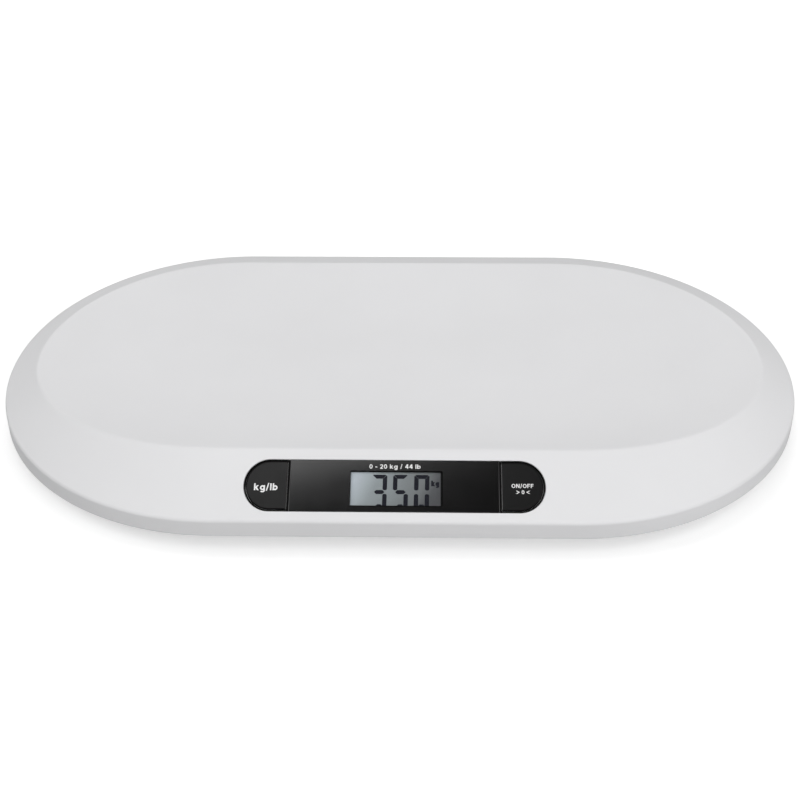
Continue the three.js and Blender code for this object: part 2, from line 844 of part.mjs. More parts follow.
function battery(index) {
  const bodyLength = batteryLength - batteryNubLength;
  const start = -batteryLength / 2;
  const profile = [
    [0, start],
    [batteryRadius - gap, start],
    [batteryRadius, start + gap],
    [batteryRadius, start + bodyLength - gap],
    [batteryRadius - gap, start + bodyLength],
    [batteryNubRadius, start + bodyLength],
    [batteryNubRadius, start + batteryLength],
    [0, start + batteryLength],
  ];
  const mesh = piece(`battery_${index + 1}`, turned(profile, roundSteps), batteryBlue);
  mesh.rotation.y = (index % 2 === 0 ? 1 : -1) * Math.PI / 2;
  mesh.position.set(0, batteryPlace(index), batteryAxis);
  return mesh;
}

// A bowed leaf between the bay's end wall and the cells `first` to `last`
function contact(name, end, first, last) {
  const wallSide = gap + contactThickness / 2;
  const cellSide = (bayLength - batteryLength) / 2 - gap - contactThickness / 2;
  const height = contactHalfHeight;
  const path = [
    [wallSide, height],
    [wallSide, -height],
    [(wallSide + cellSide) / 2, -height],
    [cellSide, -height / 4],
    [cellSide, height / 4],
    [(wallSide + cellSide) / 2, height / 2],
  ];
  const width = contactWidth + (last - first) * batteryPitch;
  const strip = slab(stripOutline(path, contactThickness), -width / 2, width / 2);
  const leaf = piece(name, strip.rotateX(Math.PI / 2), steel);
  leaf.rotation.z = end > 0 ? Math.PI : 0;
  const middle = (batteryPlace(first) + batteryPlace(last)) / 2;
  leaf.position.set(end * bayLength / 2, middle, batteryAxis);
  return leaf;
}

function contacts() {
  const last = batteryCount - 1;
  return [
    contact("battery_contact_left_front", -1, 0, 0),
    contact("battery_contact_left_middle", -1, 1, last - 1),
    contact("battery_contact_left_rear", -1, last, last),
    contact("battery_contact_right_front", 1, 0, 1),
    contact("battery_contact_right_rear", 1, last - 1, last),
  ];
}

function batteryDoor() {
  const plate = solid(block(doorLength, doorWidth, doorBottom, doorTop));
  const ridges = [];
  for (let index = 0; index < ridgeCount; index++) {
    ridges.push(block(ridgeWidth, ridgeLength, doorBottom - ridgeHeight, doorBottom + ridgeHeight)
      .translate(ridgeStart + index * ridgePitch, 0, 0));
  }
  return piece("battery_door", geometryOf(joined(plate, ridges)), baseWhite);
}

// A smooth route with as many steps in each stretch between two points, however short
class Route extends THREE.CatmullRomCurve3 {
  getSpacedPoints(steps) {
    return this.getPoints(steps);
  }

  getTangentAt(share, target) {
    return this.getTangent(share, target);
  }
}

// A round lead through hand-chosen points
function lead(name, points) {
  const path = new Route(points, false, "centripetal");
  const section = new THREE.Shape();
  section.absarc(0, 0, leadRadius, 0, 2 * Math.PI, false);
  const steps = leadStepsPerStretch * (points.length - 1);
  const settings = { extrudePath: path, steps, curveSegments: 2 * leadQuarterSteps };
  return piece(name, closed(new THREE.ExtrudeGeometry(section, settings)), leadRed);
}

// The last points of a lead: up from the base to a pad under the board, `padX` along the panel
function leadEnd(padX, padY) {
  const below = (drop) => panel.localToWorld(new THREE.Vector3(padX, padY, boardBottom - drop));
  return [below(8 * gap + 4 * leadBend), below(gap + leadBend), below(gap)];
}

const leadHeight = baseFloorTop + leadLift + leadRadius + gap;
const leadPadY = boardWidth / 2 - boardThickness - leadRadius;

function loadCellLead([name, x, y], padX, route) {
  const side = Math.sign(x);
  const plateEdge = Math.abs(x) - cellPlateSize / 2 - gap;
  const hole = Math.abs(x) - cellPlateSize / 2 - leadBend;
  const plateMiddle = (cellPlateTop + cellPlateBottom) / 2;
  const points = [
    new THREE.Vector3(side * plateEdge, y, plateMiddle),
    new THREE.Vector3(side * (hole + leadBend / 3), y, plateMiddle),
    new THREE.Vector3(side * hole, y, baseFloorBottom + baseThickness / 3),
    new THREE.Vector3(side * hole, y, baseFloorTop + overrun),
  ];
  for (const [lengthShare, depthShare] of route) {
    points.push(new THREE.Vector3(
      side * lengthShare * trayLength / 2, depthShare * trayDepth / 2, leadHeight));
  }
  points.push(...leadEnd(padX, leadPadY));
  return lead(`load_cell_lead_${name}`, points);
}

// Routes over the base's floor, as shares of the tray's half length and half depth
const frontRouteShares = [[0.44, -0.55], [0.3, -0.64], [0.2, -0.68]];
const rearRouteShares = [[0.44, 0.42], [0.33, 0.1], [0.24, -0.3], [0.16, -0.6]];
const batteryRouteShares = [[0.14, -0.1], [0.1, -0.4], [0.05, -0.62]];
const leadPads = [-46, 46, -38, 38];
const batteryLeadPad = 8;

function batteryLead() {
  const start = bayLength / 2 + bayWall + gap;
  const y = -bayWidth / 4;
  const points = [
    new THREE.Vector3(start, y, batteryAxis),
    new THREE.Vector3(start + leadBend, y, batteryAxis),
  ];
  for (const [lengthShare, depthShare] of batteryRouteShares) {
    points.push(new THREE.Vector3(
      lengthShare * trayLength / 2, depthShare * trayDepth / 2, leadHeight));
  }
  points.push(...leadEnd(batteryLeadPad, leadPadY));
  return lead("battery_lead", points);
}

// The whole scale
const scale = new THREE.Group();

panel.add(
  displayBezel(),
  lcdLens(),
  lcdCell(),
  lcdHolder(),
  zebraStrip(),
  button("unit_button", -1),
  button("power_button", 1),
  tactSwitch("unit_switch", -1),
  tactSwitch("power_switch", 1),
  switchStem("unit_switch_stem", -1),
  switchStem("power_switch_stem", 1),
  displayBoard(),
  controllerChip(),
  ...boardPostPlaces().map((place, index) => boardScrew(index, place)),
);

scale.add(
  trayShell(),
  panel,
  baseCover(),
  ...baseScrewPlaces().map((place, index) => baseScrew(index, place)),
  ...footPlaces().map(foot),
  batteryDoor(),
  ...contacts(),
  batteryLead(),
);

for (let index = 0; index < batteryCount; index++) {
  scale.add(battery(index));
}

footPlaces().forEach((place, index) => {
  const route = place[2] < 0 ? frontRouteShares : rearRouteShares;
  scale.add(loadCellLead(place, leadPads[index], route));
});

export default scale;
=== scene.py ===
"""A digital baby weighing scale: finishes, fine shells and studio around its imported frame.

Lengths are in millimetres, and become metres as each mesh is made. X runs along the tray, Y from
the panel to the back and Z up from the ground. The display's own frame has its origin in the
middle of the panel, on the band's surface, with its Z out of the band.
"""
import json
import math

import bmesh
import bpy
from mathutils import Matrix, Quaternion, Vector


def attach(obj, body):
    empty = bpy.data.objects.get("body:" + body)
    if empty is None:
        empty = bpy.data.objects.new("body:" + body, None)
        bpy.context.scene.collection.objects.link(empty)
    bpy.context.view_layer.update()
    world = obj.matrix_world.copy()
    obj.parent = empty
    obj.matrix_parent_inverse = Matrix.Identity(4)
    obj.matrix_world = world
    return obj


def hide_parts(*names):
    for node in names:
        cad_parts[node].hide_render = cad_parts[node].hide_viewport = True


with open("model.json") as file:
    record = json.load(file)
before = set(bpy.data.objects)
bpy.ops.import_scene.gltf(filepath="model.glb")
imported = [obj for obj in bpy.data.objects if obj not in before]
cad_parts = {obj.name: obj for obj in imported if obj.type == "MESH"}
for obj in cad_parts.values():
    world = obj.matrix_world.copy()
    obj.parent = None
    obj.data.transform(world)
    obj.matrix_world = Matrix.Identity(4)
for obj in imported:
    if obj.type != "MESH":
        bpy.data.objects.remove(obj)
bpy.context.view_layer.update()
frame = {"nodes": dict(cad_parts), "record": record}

MM = 0.001

# Tray: outside sizes
TRAY_LENGTH = 550
TRAY_DEPTH = 320
SKIRT_BOTTOM = 16
SHOULDER_HEIGHT = 28.7
CREST_HEIGHT = 50.5
CREST_INSET = 45.7
CREST_END_INSET = 22.75
CREST_END_DROP = 7.1
DISH_FLOOR_HEIGHT = 41
DISH_FLOOR_HALF_WIDTH = 30
DISH_FLOOR_END_REACH = 36
SHOULDER_RADIUS = 3
CREST_RADIUS = 4
TRAY_WALL = 2.5
FOOT_EDGE_RADIUS = 0.7

# Display panel
PANEL_LENGTH = 189
PANEL_WIDTH = 35.4
PANEL_END_REACH = 16.3
PANEL_SETBACK = 22.5
PANEL_THICKNESS = 2
PANEL_RIM = 1
PANEL_BEVEL = 0.3
KEY_LENGTH = 27.5
GROOVE_MARGIN = 0.55
GROOVE_DEPTH = 0.8
GROOVE_CHAMFER = 0.35
SPLIT_GAP_INNER = 1.25
SPLIT_GAP_OUTER = 0.1
SPLIT_CLEARANCE = 0.1
SPLIT_EDGE_RUN = 0.5
SPLIT_EDGE_DROP = 0.25
SPLIT_CORNER_RADIUS = 1.2
SEAT_THICKNESS = 2.7
SEAT_MARGIN = 3
RECESS_CHAMFER = 0.3

# Window, lens and cell
WINDOW_LENGTH = 57.9
WINDOW_WIDTH = 24.1
WINDOW_X = 1.15
WINDOW_Y = -1.9
WINDOW_CORNER_RADIUS = 0.8
WINDOW_PLATE = 1.2
WINDOW_BEVEL = 0.25
LENS_RECESS = 0.25
LENS_EDGE = 0.15
CELL_SIZE = (60.5, 27)
# The cell's dark border: part print, part painted shade from the window's edges
MASK_LEFT = 0.1
MASK_RIGHT = 1.1
MASK_TOP = 0.1
MASK_BOTTOM = 0.5
MASK_CORNER_RADIUS = 0.4
# How fast the cell's painted shade deepens downwards
CELL_PAINTED_SHADE_DOWN = 0.0084

# Figures on the cell: one figure's size, its strokes and the place of the first
DIGIT_PITCH = 13.28
DIGIT_WIDTH = 9.55
DIGIT_HEIGHT = 23.9
DIGIT_STROKE = 2.75
DIGIT_FOOT_STROKE = 3.6
DIGIT_GAP = 0.08
DIGIT_CORNER = 1
DIGIT_SLANT = 0.013
DIGIT_TOP = 8.3
FIRST_DIGIT_X = -14.24
POINT_SIZE = 2.3
INK_LIFT = 0.02

# Keys
KEY_PLATE = 1.5
KEY_EDGE = ((-1.5, -0.3), (-1.2, 0), (-0.32, 0), (-0.27, -0.04), (-0.03, -0.5), (0, -0.65))
KEY_POST_RADIUS = 3.6
KEY_POST_SETBACK = 14
KEY_BARB_RADIUS = 4.5
KEY_BARB_HEIGHT = 1.5

# Base cover
BASE_THICKNESS = 2.5
BASE_FLOOR_BOTTOM = 11.5
BASE_FLANGE_BOTTOM = 17
BASE_LIP_HEIGHT = 2
BASE_LIP_THICKNESS = 2
BASE_EDGE_GAP = 0.4
PAN_INSET = 31
PAN_SLOPE = 4
PAN_CAP_REACH = 40
PAN_FILLET = 1.5
BASE_BOSS_RADIUS = 5
BASE_BOSS_HEIGHT = 5
SHELL_POST_RADIUS = 4.5
SHELL_POST_ROOT = 1.2
SCREW_HEAD_RADIUS = 3
SCREW_HEAD_HEIGHT = 2.2
SCREW_HEAD_SINK = 0.5
SCREW_RADIUS = 1.5
SCREW_REACH = 10
SCREW_CROSS_LENGTH = 3.4
SCREW_CROSS_WIDTH = 0.8
SCREW_CROSS_DEPTH = 1.3
SINK_CHAMFER = 0.4
END_SCREW_MARGIN = 15.5
END_SCREW_ANGLE = 19.5
SIDE_SCREW_MARGIN = 21
SIDE_SCREW_ANGLE = 88.4

# Feet
FOOT_MARGIN = 32.8
FOOT_ANGLE = 62.1
PAD_RADIUS = 19
PAD_THICKNESS = 2.5
PAD_EDGE = 0.8
PAD_GROOVES = (6, 10, 14)
PAD_GROOVE_WIDTH = 1.2
PAD_GROOVE_DEPTH = 0.5
CUP_RADIUS = 22
CUP_EDGE = 1.2
CUP_FLANGE_RADIUS = 24.3
CUP_FLANGE_HEIGHT = 1.5
CUP_TOP = 8.7
CUP_PLATE = 2
CUP_WALL = 2
CUP_DOME_RADIUS = 4.5
WELL_RADIUS = 25
WELL_WALL = 2
WELL_BOTTOM = 5.5
WELL_LIP_HEIGHT = 1.2
WELL_EDGE = 0.7
CELL_PLATE_SIZE = 34
LEAD_HOLE_RADIUS = 1.5
LEAD_BEND = 3.4

# Battery bay and door
BATTERY_COUNT = 4
BATTERY_RADIUS = 5.25
BATTERY_LENGTH = 44.5
BATTERY_NUB_RADIUS = 1.9
BATTERY_NUB_LENGTH = 1.2
BATTERY_SPACING = 0.4
BATTERY_EDGE = 0.5
WRAP_BAND_START = 14
WRAP_END = 20.7
BAY_LENGTH = 54
BAY_WALL = 2
BAY_HEADROOM = 0.8
DOOR_LENGTH = 62
DOOR_WIDTH = 52
DOOR_THICKNESS = 2.6
DOOR_CORNER = 1.2
DOOR_EDGE = 0.35
RAIL_WALL = 2.5
RAIL_LIP = 2
RAIL_LIP_THICKNESS = 1.2
RAIL_CORNER = 1.6
RAIL_EDGE = 0.5
RIDGE_COUNT = 3
RIDGE_LENGTH = 14
RIDGE_WIDTH = 1.6
RIDGE_HEIGHT = 0.6
RIDGE_PITCH = 4
RIDGE_START = 14
ARROW_TIP_X = 9
ARROW_LENGTH = 6
ARROW_HALF_WIDTH = 3.5
ARROW_RELIEF = 0.3

# Clearances, and how far a cut runs past the face it opens
GAP = 0.3
OVERRUN = 1

# Facet counts
END_STEPS = 96
SHOULDER_STEPS = 12
CREST_STEPS = 8
DISH_STEPS = 30
PANEL_END_STEPS = 48
CORNER_STEPS = 6
ROUND_STEPS = 48
PLATE_BEVEL_STEPS = 3
FLAT_ANGLE = math.radians(0.05)
MITRE_LIMIT = 0.2
WELD_REACH = 0.002
SIDE_LEVEL = 0.2
FLAT_LEVEL = 0.999

# Places worked out from the sizes above
STRAIGHT_HALF = (TRAY_LENGTH - TRAY_DEPTH) / 2
OUTER_REACH = TRAY_DEPTH / 2
BAND_ANGLE = math.atan2(CREST_HEIGHT - SHOULDER_HEIGHT, CREST_INSET)
KEY_SPLIT = PANEL_LENGTH / 2 - KEY_LENGTH
SPLIT_START = KEY_SPLIT - SPLIT_GAP_INNER
SPLIT_END = KEY_SPLIT + SPLIT_GAP_OUTER
KEY_POST_AT = PANEL_LENGTH / 2 - KEY_POST_SETBACK
SEAT_TOP = -(PANEL_THICKNESS + GAP)
SEAT_BOTTOM = SEAT_TOP - SEAT_THICKNESS
CELL_TOP = -(WINDOW_PLATE + GAP)
PAN_REACH = OUTER_REACH - PAN_INSET
BASE_FLOOR_TOP = BASE_FLOOR_BOTTOM + BASE_THICKNESS
BOSS_TOP = BASE_FLOOR_BOTTOM + BASE_BOSS_HEIGHT
SCREW_SEAT = BASE_FLOOR_BOTTOM + SCREW_HEAD_SINK + SCREW_HEAD_HEIGHT
CUP_BOTTOM = PAD_THICKNESS + GAP
DOOR_TOP = BASE_FLOOR_BOTTOM - GAP
DOOR_BOTTOM = DOOR_TOP - DOOR_THICKNESS
BATTERY_AXIS = DOOR_TOP + BATTERY_SPACING + BATTERY_RADIUS
BATTERY_PITCH = 2 * BATTERY_RADIUS + BATTERY_SPACING
BAY_WIDTH = BATTERY_COUNT * BATTERY_PITCH + BATTERY_SPACING
BAY_ROOF = BATTERY_AXIS + BATTERY_RADIUS + BAY_HEADROOM
RAIL_BOTTOM = DOOR_BOTTOM - GAP - RAIL_LIP_THICKNESS
FEET = ("front_left", "front_right", "rear_left", "rear_right")
PANEL = (
    Matrix.Translation((
        0,
        PANEL_SETBACK - OUTER_REACH,
        SHOULDER_HEIGHT + PANEL_SETBACK * math.tan(BAND_ANGLE),
    ))
    @ Matrix.Rotation(BAND_ANGLE, 4, "X")
)


# Materials: where their textures change, how finely and by how much

MIDDLE_VALUES = (0.3, 0.7)
FINE_DETAIL = 3
DRIFT_SCALE = 14
PLASTIC_TONES = (0.985, 1.0075)
GLOSS_SCALE = 60
GLOSS_DRIFT = 0.08
METAL_DRIFT_SCALE = 90
BRUSH_SCALE = 300
BRUSH_STRETCH = (1, 40, 1)
BRUSH_DRIFT = 0.3
BRUSH_DEPTH = 0.04
METAL_TONES = (0.93, 1.03)
LENS_GLOSS = 0.03
GLOSS_POWER = 5


def feed(tree, made, **values):
    """Sets a node's options and inputs by name, and links an input that is given an output."""
    for name, value in values.items():
        if hasattr(made, name):
            setattr(made, name, value)
        else:
            fill(tree, made.inputs[name.replace("_", " ")], value)


def fill(tree, socket, value):
    if isinstance(value, bpy.types.NodeSocket):
        tree.links.new(value, socket)
    else:
        socket.default_value = value


def node(tree, kind, *first_inputs, **values):
    """A node, its first inputs filled in order, and its options and other inputs by name."""
    made = tree.nodes.new(kind)
    for socket, value in zip(made.inputs, first_inputs):
        fill(tree, socket, value)
    feed(tree, made, **values)
    return made


def calculate(tree, operation, *inputs):
    return node(tree, "ShaderNodeMath", *inputs, operation=operation).outputs["Value"]


def empty_material(name):
    material = bpy.data.materials.new(name)
    material.use_nodes = True
    return material, material.node_tree


def base_material(name, colour, roughness, metallic=0.0, **sockets):
    material, tree = empty_material(name)
    shader = tree.nodes["Principled BSDF"]
    feed(tree, shader, Base_Color=(*colour, 1), Roughness=roughness, Metallic=metallic, **sockets)
    material.diffuse_color = (*colour, 1)
    return material, tree, shader


def part_clear(name, colour, make_share, kind, **values):
    """A see-through material, covered by another shader for a share that a function makes."""
    material, tree = empty_material(name)
    tree.nodes.remove(tree.nodes["Principled BSDF"])
    clear = node(tree, "ShaderNodeBsdfTransparent", colour)
    cover = node(tree, kind, **values)
    mix = node(tree, "ShaderNodeMixShader", make_share(tree), clear.outputs[0], cover.outputs[0])
    tree.links.new(mix.outputs["Shader"], tree.nodes["Material Output"].inputs["Surface"])
    return material


def object_place(tree):
    return node(tree, "ShaderNodeTexCoord").outputs["Object"]


def object_noise(tree, scale, detail=2.0, stretch=(1, 1, 1)):
    mapping = node(tree, "ShaderNodeMapping", object_place(tree), Scale=stretch)
    noise = node(tree, "ShaderNodeTexNoise", mapping.outputs["Vector"], Scale=scale, Detail=detail)
    return noise.outputs["Fac"]


def spread(tree, source, low, high, span=MIDDLE_VALUES, **options):
    """Maps a span of a texture's values onto low to high."""
    mapped = node(tree, "ShaderNodeMapRange", source, *span, low, high, **options)
    return mapped.outputs["Result"]


def colour_ramp(tree, source, stops, interpolation="LINEAR"):
    """A ramp through stops: [place, colour] pairs."""
    ramp = node(tree, "ShaderNodeValToRGB", source)
    ramp.color_ramp.interpolation = interpolation
    made = ramp.color_ramp.elements
    for index, (place, colour) in enumerate(stops):
        stop = made[index] if index < 2 else made.new(place)
        stop.position = place
        stop.color = (*colour, 1)
    return ramp.outputs["Color"]


def tint(tree, source, colour, tones, span=MIDDLE_VALUES):
    """Varies a colour between two tones over a span of a texture's values."""
    stops = [(place, tuple(channel * tone for channel in colour))
             for place, tone in zip(span, tones)]
    return colour_ramp(tree, source, stops)


def bump(tree, source, strength):
    made = node(tree, "ShaderNodeBump", Strength=strength, Distance=MM, Height=source)
    return made.outputs["Normal"]


def moulded(name, colour, roughness, grain=900, depth=0.02, **sockets):
    """Moulded plastic: a slow drift of tone, uneven gloss and a fine grain."""
    material, tree, shader = base_material(name, colour, roughness, **sockets)
    drift = object_noise(tree, DRIFT_SCALE)
    gloss = object_noise(tree, GLOSS_SCALE, FINE_DETAIL)
    feed(tree, shader,
         Base_Color=tint(tree, drift, colour, PLASTIC_TONES),
         Roughness=spread(tree, gloss, roughness * (1 - GLOSS_DRIFT), roughness * (1 + GLOSS_DRIFT)),
         Normal=bump(tree, object_noise(tree, grain), depth))
    return material


def brushed(name, colour, roughness):
    """Plated or rolled metal with a fine lengthwise grain."""
    material, tree, shader = base_material(name, colour, roughness, metallic=1.0)
    grain = object_noise(tree, BRUSH_SCALE, FINE_DETAIL, BRUSH_STRETCH)
    drift = object_noise(tree, METAL_DRIFT_SCALE)
    feed(tree, shader,
         Base_Color=tint(tree, drift, colour, METAL_TONES),
         Roughness=spread(tree, grain, roughness * (1 - BRUSH_DRIFT), roughness * (1 + BRUSH_DRIFT)),
         Normal=bump(tree, grain, BRUSH_DEPTH))
    return material


def lens_gloss(tree):
    """The share of gloss on the lens, from straight on up to grazing views."""
    facing = node(tree, "ShaderNodeLayerWeight", Blend=0.5).outputs["Facing"]
    return spread(tree, calculate(tree, "POWER", facing, GLOSS_POWER), LENS_GLOSS, 1, (0, 1))


def cell_material():
    """The liquid crystal cell: a grey reflector with painted reflection and shade, lighter at the
    left and darker to the right and downwards.
    """
    material, tree, shader = base_material("lcd_grey", CELL_PAINTED_LIGHT_TONES[1][1], 0.35,
                                           Specular_IOR_Level=0.1)
    direction = Vector((1 / WINDOW_LENGTH, -CELL_PAINTED_SHADE_DOWN / math.cos(BAND_ANGLE), 0))
    along = node(tree, "ShaderNodeVectorMath", object_place(tree), direction / MM,
                 operation="DOT_PRODUCT").outputs["Value"]
    start = direction.dot((WINDOW_X - WINDOW_LENGTH / 2, PANEL.translation.y, 0))
    share = spread(tree, along, 0, 1, (start, start + 1))
    feed(tree, shader, Base_Color=colour_ramp(tree, share, CELL_PAINTED_LIGHT_TONES),
         Normal=bump(tree, object_noise(tree, 1500, 1), 0.01))
    return material


def battery_material():
    """A printed wrap with a pale band at one end, and bare plated ends."""
    wrap = (0.02, 0.05, 0.11)
    stops = (
        (0, wrap),
        (WRAP_BAND_START / BATTERY_LENGTH, (0.42, 0.42, 0.4)),
        (WRAP_END / BATTERY_LENGTH, (0.6, 0.6, 0.6)),
    )
    material, tree, shader = base_material("battery_wrap", wrap, 0.28)
    split = node(tree, "ShaderNodeSeparateXYZ", object_place(tree))
    along = calculate(tree, "ABSOLUTE", split.outputs["X"])
    share = calculate(tree, "DIVIDE", along, BATTERY_LENGTH * MM)
    scuffs = object_noise(tree, 400, FINE_DETAIL, (0.2, 1, 1))
    feed(tree, shader,
         Base_Color=colour_ramp(tree, share, stops, "CONSTANT"),
         Metallic=calculate(tree, "GREATER_THAN", share, WRAP_END / BATTERY_LENGTH),
         Roughness=spread(tree, scuffs, 0.22, 0.34))
    return material


def board_material():
    """Green solder mask over a faint copper pattern."""
    colour = (0.012, 0.09, 0.035)
    material, tree, shader = base_material("solder_mask", colour, 0.3)
    tracks = node(tree, "ShaderNodeTexVoronoi", object_place(tree), feature="DISTANCE_TO_EDGE",
                  Scale=160)
    feed(tree, shader,
         Base_Color=tint(tree, tracks.outputs["Distance"], colour, (1.8, 1), (0.02, 0.08)))
    return material


# Painted reflection and shade on the cell: places along the window and tones, from lighter at the
# left to darker at the right
CELL_PAINTED_LIGHT_TONES = (
    (0.0, (0.497, 0.537, 0.567)),
    (0.26, (0.3, 0.33, 0.335)),
    (0.77, (0.1775, 0.1875, 0.1895)),
    (0.91, (0.096, 0.0988, 0.1027)),
    (1.0, (0.0834, 0.084, 0.0887)),
)
edge_black = moulded("edge_black", (0.004, 0.004, 0.0043), 0.2, grain=400, depth=0.002)
groove_black = moulded("groove_black", (0.003, 0.003, 0.003), 0.85, grain=900, depth=0.02,
                       Specular_IOR_Level=0.1)
ink_white = moulded("ink_white", (0.78, 0.78, 0.78), 0.5, grain=1200, depth=0.03)
ink_navy = moulded("ink_navy", (0.003, 0.0036, 0.01), 0.5, grain=1200, depth=0.01,
                   Specular_IOR_Level=0.1)

SLOT_MATERIALS = {
    "tray": moulded("tray_white", (0.74, 0.74, 0.75), 0.5, grain=1400, depth=0.012,
                    Specular_IOR_Level=0.0, Coat_Weight=0.1, Coat_Roughness=0.3),
    "base": moulded("base_white", (0.72, 0.725, 0.735), 0.55, grain=700, depth=0.05),
    "panel": moulded("panel_black", (0.002, 0.002, 0.0022), 0.125, grain=400, depth=0.002,
                     Specular_IOR_Level=0.3),
    "button": moulded("key_black", (0.0025, 0.0025, 0.0027), 0.3, grain=400, depth=0.006,
                      Specular_IOR_Level=0.21),
    "lens": part_clear("lens_clear", (0.985, 0.99, 0.995, 1), lens_gloss,
                       "ShaderNodeBsdfGlossy", Roughness=0.06),
    "lcd": cell_material(),
    "holder": moulded("holder_white", (0.6, 0.6, 0.57), 0.5),
    "foot_rubber": moulded("foot_rubber", (0.05, 0.052, 0.055), 0.8, grain=500, depth=0.15),
    "connector_rubber": moulded("connector_rubber", (0.03, 0.03, 0.032), 0.75, grain=600,
                                depth=0.1),
    "board": board_material(),
    "chip": moulded("chip_black", (0.012, 0.012, 0.013), 0.45, grain=800, depth=0.08),
    "steel": brushed("zinc_steel", (0.55, 0.55, 0.57), 0.32),
    "contact": brushed("contact_steel", (0.62, 0.61, 0.58), 0.22),
    "battery": battery_material(),
    "lead": moulded("lead_red", (0.35, 0.02, 0.015), 0.45),
}


def finish_frame_nodes():
    """Every CAD node takes the finish of its slot in the record."""
    for row in frame["record"]["subparts"]:
        part = frame["nodes"].get(row["node"])
        if part is None:
            continue
        material = SLOT_MATERIALS[row["material_slot"]]
        for place in part.material_slots:
            place.material = material
        if not part.material_slots:
            part.data.materials.append(material)


# Mesh helpers

def placed_object(name, data):
    made = bpy.data.objects.new(name, data)
    bpy.context.scene.collection.objects.link(made)
    return made


def loose_mesh(name, points, faces, material, place=Matrix()):
    """A mesh object from millimetre points."""
    mesh = bpy.data.meshes.new(name)
    mesh.from_pydata([Vector(place @ Vector(point)) * MM for point in points], [], faces)
    mesh.validate()
    mesh.materials.append(material)
    return placed_object(name, mesh)


def make_piece(name, shape, slot, stands_for=(), place=Matrix(), body="housing", ink=None):
    """A piece of a shape's points and faces, in its slot's finish or in ink, on a body."""
    piece = loose_mesh(name, *shape, ink or SLOT_MATERIALS[slot], place)
    dress(piece, body, stands_for)
    return piece


def dress(piece, body, stands_for):
    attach(piece, body)
    if stands_for:
        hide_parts(*stands_for)


def smooth(piece, sharp_degrees=32):
    """Rounds the shading, except across edges that turn more than a limit."""
    mesh = bmesh.new()
    mesh.from_mesh(piece.data)
    bmesh.ops.dissolve_limit(
        mesh, angle_limit=FLAT_ANGLE, verts=mesh.verts, edges=mesh.edges, delimit={"MATERIAL"})
    bmesh.ops.recalc_face_normals(mesh, faces=mesh.faces)
    limit = math.radians(sharp_degrees)
    for edge in mesh.edges:
        edge.smooth = len(edge.link_faces) == 2 and edge.calc_face_angle(0) < limit
    for face in mesh.faces:
        face.smooth = True
    mesh.to_mesh(piece.data)
    mesh.free()
    weights = piece.modifiers.new("weights", "WEIGHTED_NORMAL")
    weights.keep_sharp = True
    settle(piece)


def settle(piece):
    """Applies a piece's modifiers to its mesh."""
    shapes = bpy.context.evaluated_depsgraph_get()
    made = bpy.data.meshes.new_from_object(
        piece.evaluated_get(shapes), preserve_all_data_layers=True, depsgraph=shapes)
    old = piece.data
    piece.modifiers.clear()
    piece.data = made
    bpy.data.meshes.remove(old)


def combine(piece, others, operation, finishes="INDEX"):
    """Joins others to a piece, or cuts them out of it, one after another."""
    for other in others:
        change = piece.modifiers.new(operation.lower(), "BOOLEAN")
        change.operation = operation
        change.material_mode = finishes
        change.solver = "EXACT"
        change.object = other
        settle(piece)
        mesh = other.data
        bpy.data.objects.remove(other)
        bpy.data.meshes.remove(mesh)


def band_faces(count, low, high):
    """The faces between two closed outlines of one count, from their first points' numbers."""
    return [(low + side, low + (side + 1) % count, high + (side + 1) % count, high + side)
            for side in range(count)]


def stack(rings, looped=False):
    """Points and faces of a solid through rings of equal count, capped at both ends or looped."""
    count = len(rings[0])
    points = [point for ring_points in rings for point in ring_points]
    starts = list(range(0, len(points), count))
    faces = []
    for low, high in zip(starts, starts[1:] + (starts[:1] if looped else [])):
        faces += band_faces(count, low, high)
    if not looped:
        faces.append(tuple(reversed(range(count))))
        faces.append(tuple(range(starts[-1], len(points))))
    return points, faces


def circle(radius, height, centre=(0, 0), steps=ROUND_STEPS):
    return [(x, y, height) for x, y in arc(*centre, radius, radius, 0, math.tau, steps)[:-1]]


def turned(profile, centre=(0, 0), looped=False):
    """Points and faces of a solid turned about Z, from [radius, height] pairs off the axis."""
    return stack([circle(radius, height, centre) for radius, height in profile], looped)


def merged(shapes):
    """One list of points and faces from several, which don't touch each other."""
    points, faces = [], []
    for more_points, more_faces in shapes:
        first = len(points)
        points += more_points
        faces += [tuple(first + corner for corner in face) for face in more_faces]
    return points, faces


def flat(outlines):
    """Points and faces of flat outlines, each a face of its own."""
    return merged((outline, [tuple(range(len(outline)))]) for outline in outlines)


def cutter(shapes, place=Matrix(), material=SLOT_MATERIALS["tray"]):
    """A loose mesh of one or more shapes, for a cut or a join."""
    return loose_mesh("cutter", *merged(shapes), material, place)


def column(radius, bottom, top, centre=(0, 0)):
    return turned([(radius, bottom), (radius, top)], centre)


def box(start_x, end_x, start_y, end_y, bottom, top):
    outline = [(start_x, start_y), (end_x, start_y), (end_x, end_y), (start_x, end_y)]
    return prism(outline, [(bottom, 0), (top, 0)])


def block(start_x, end_x, half_width, bottom, top):
    return box(start_x, end_x, -half_width, half_width, bottom, top)


def prism(outline, levels):
    """Points and faces of an outline raised through levels: [height, outward growth] pairs."""
    return stack([[(x, y, height) for x, y in grown(outline, growth)]
                  for height, growth in levels])


def grown(outline, growth):
    """An anticlockwise outline moved outwards by an even amount."""
    count = len(outline)
    moved = []
    for index, (x, y) in enumerate(outline):
        before = outline[index - 1]
        after = outline[(index + 1) % count]
        into = Vector((x - before[0], y - before[1])).normalized()
        out = Vector((after[0] - x, after[1] - y)).normalized()
        middle = (into + out).normalized()
        reach = growth / max(middle.dot(into), MITRE_LIMIT)
        moved.append((x + middle.y * reach, y - middle.x * reach))
    return moved


# Outlines, anticlockwise

QUARTER = math.pi / 2


def arc(centre_x, centre_y, reach_x, reach_y, start, end, steps):
    angles = [start + (end - start) * step / steps for step in range(steps + 1)]
    return [(centre_x + reach_x * math.cos(angle), centre_y + reach_y * math.sin(angle))
            for angle in angles]


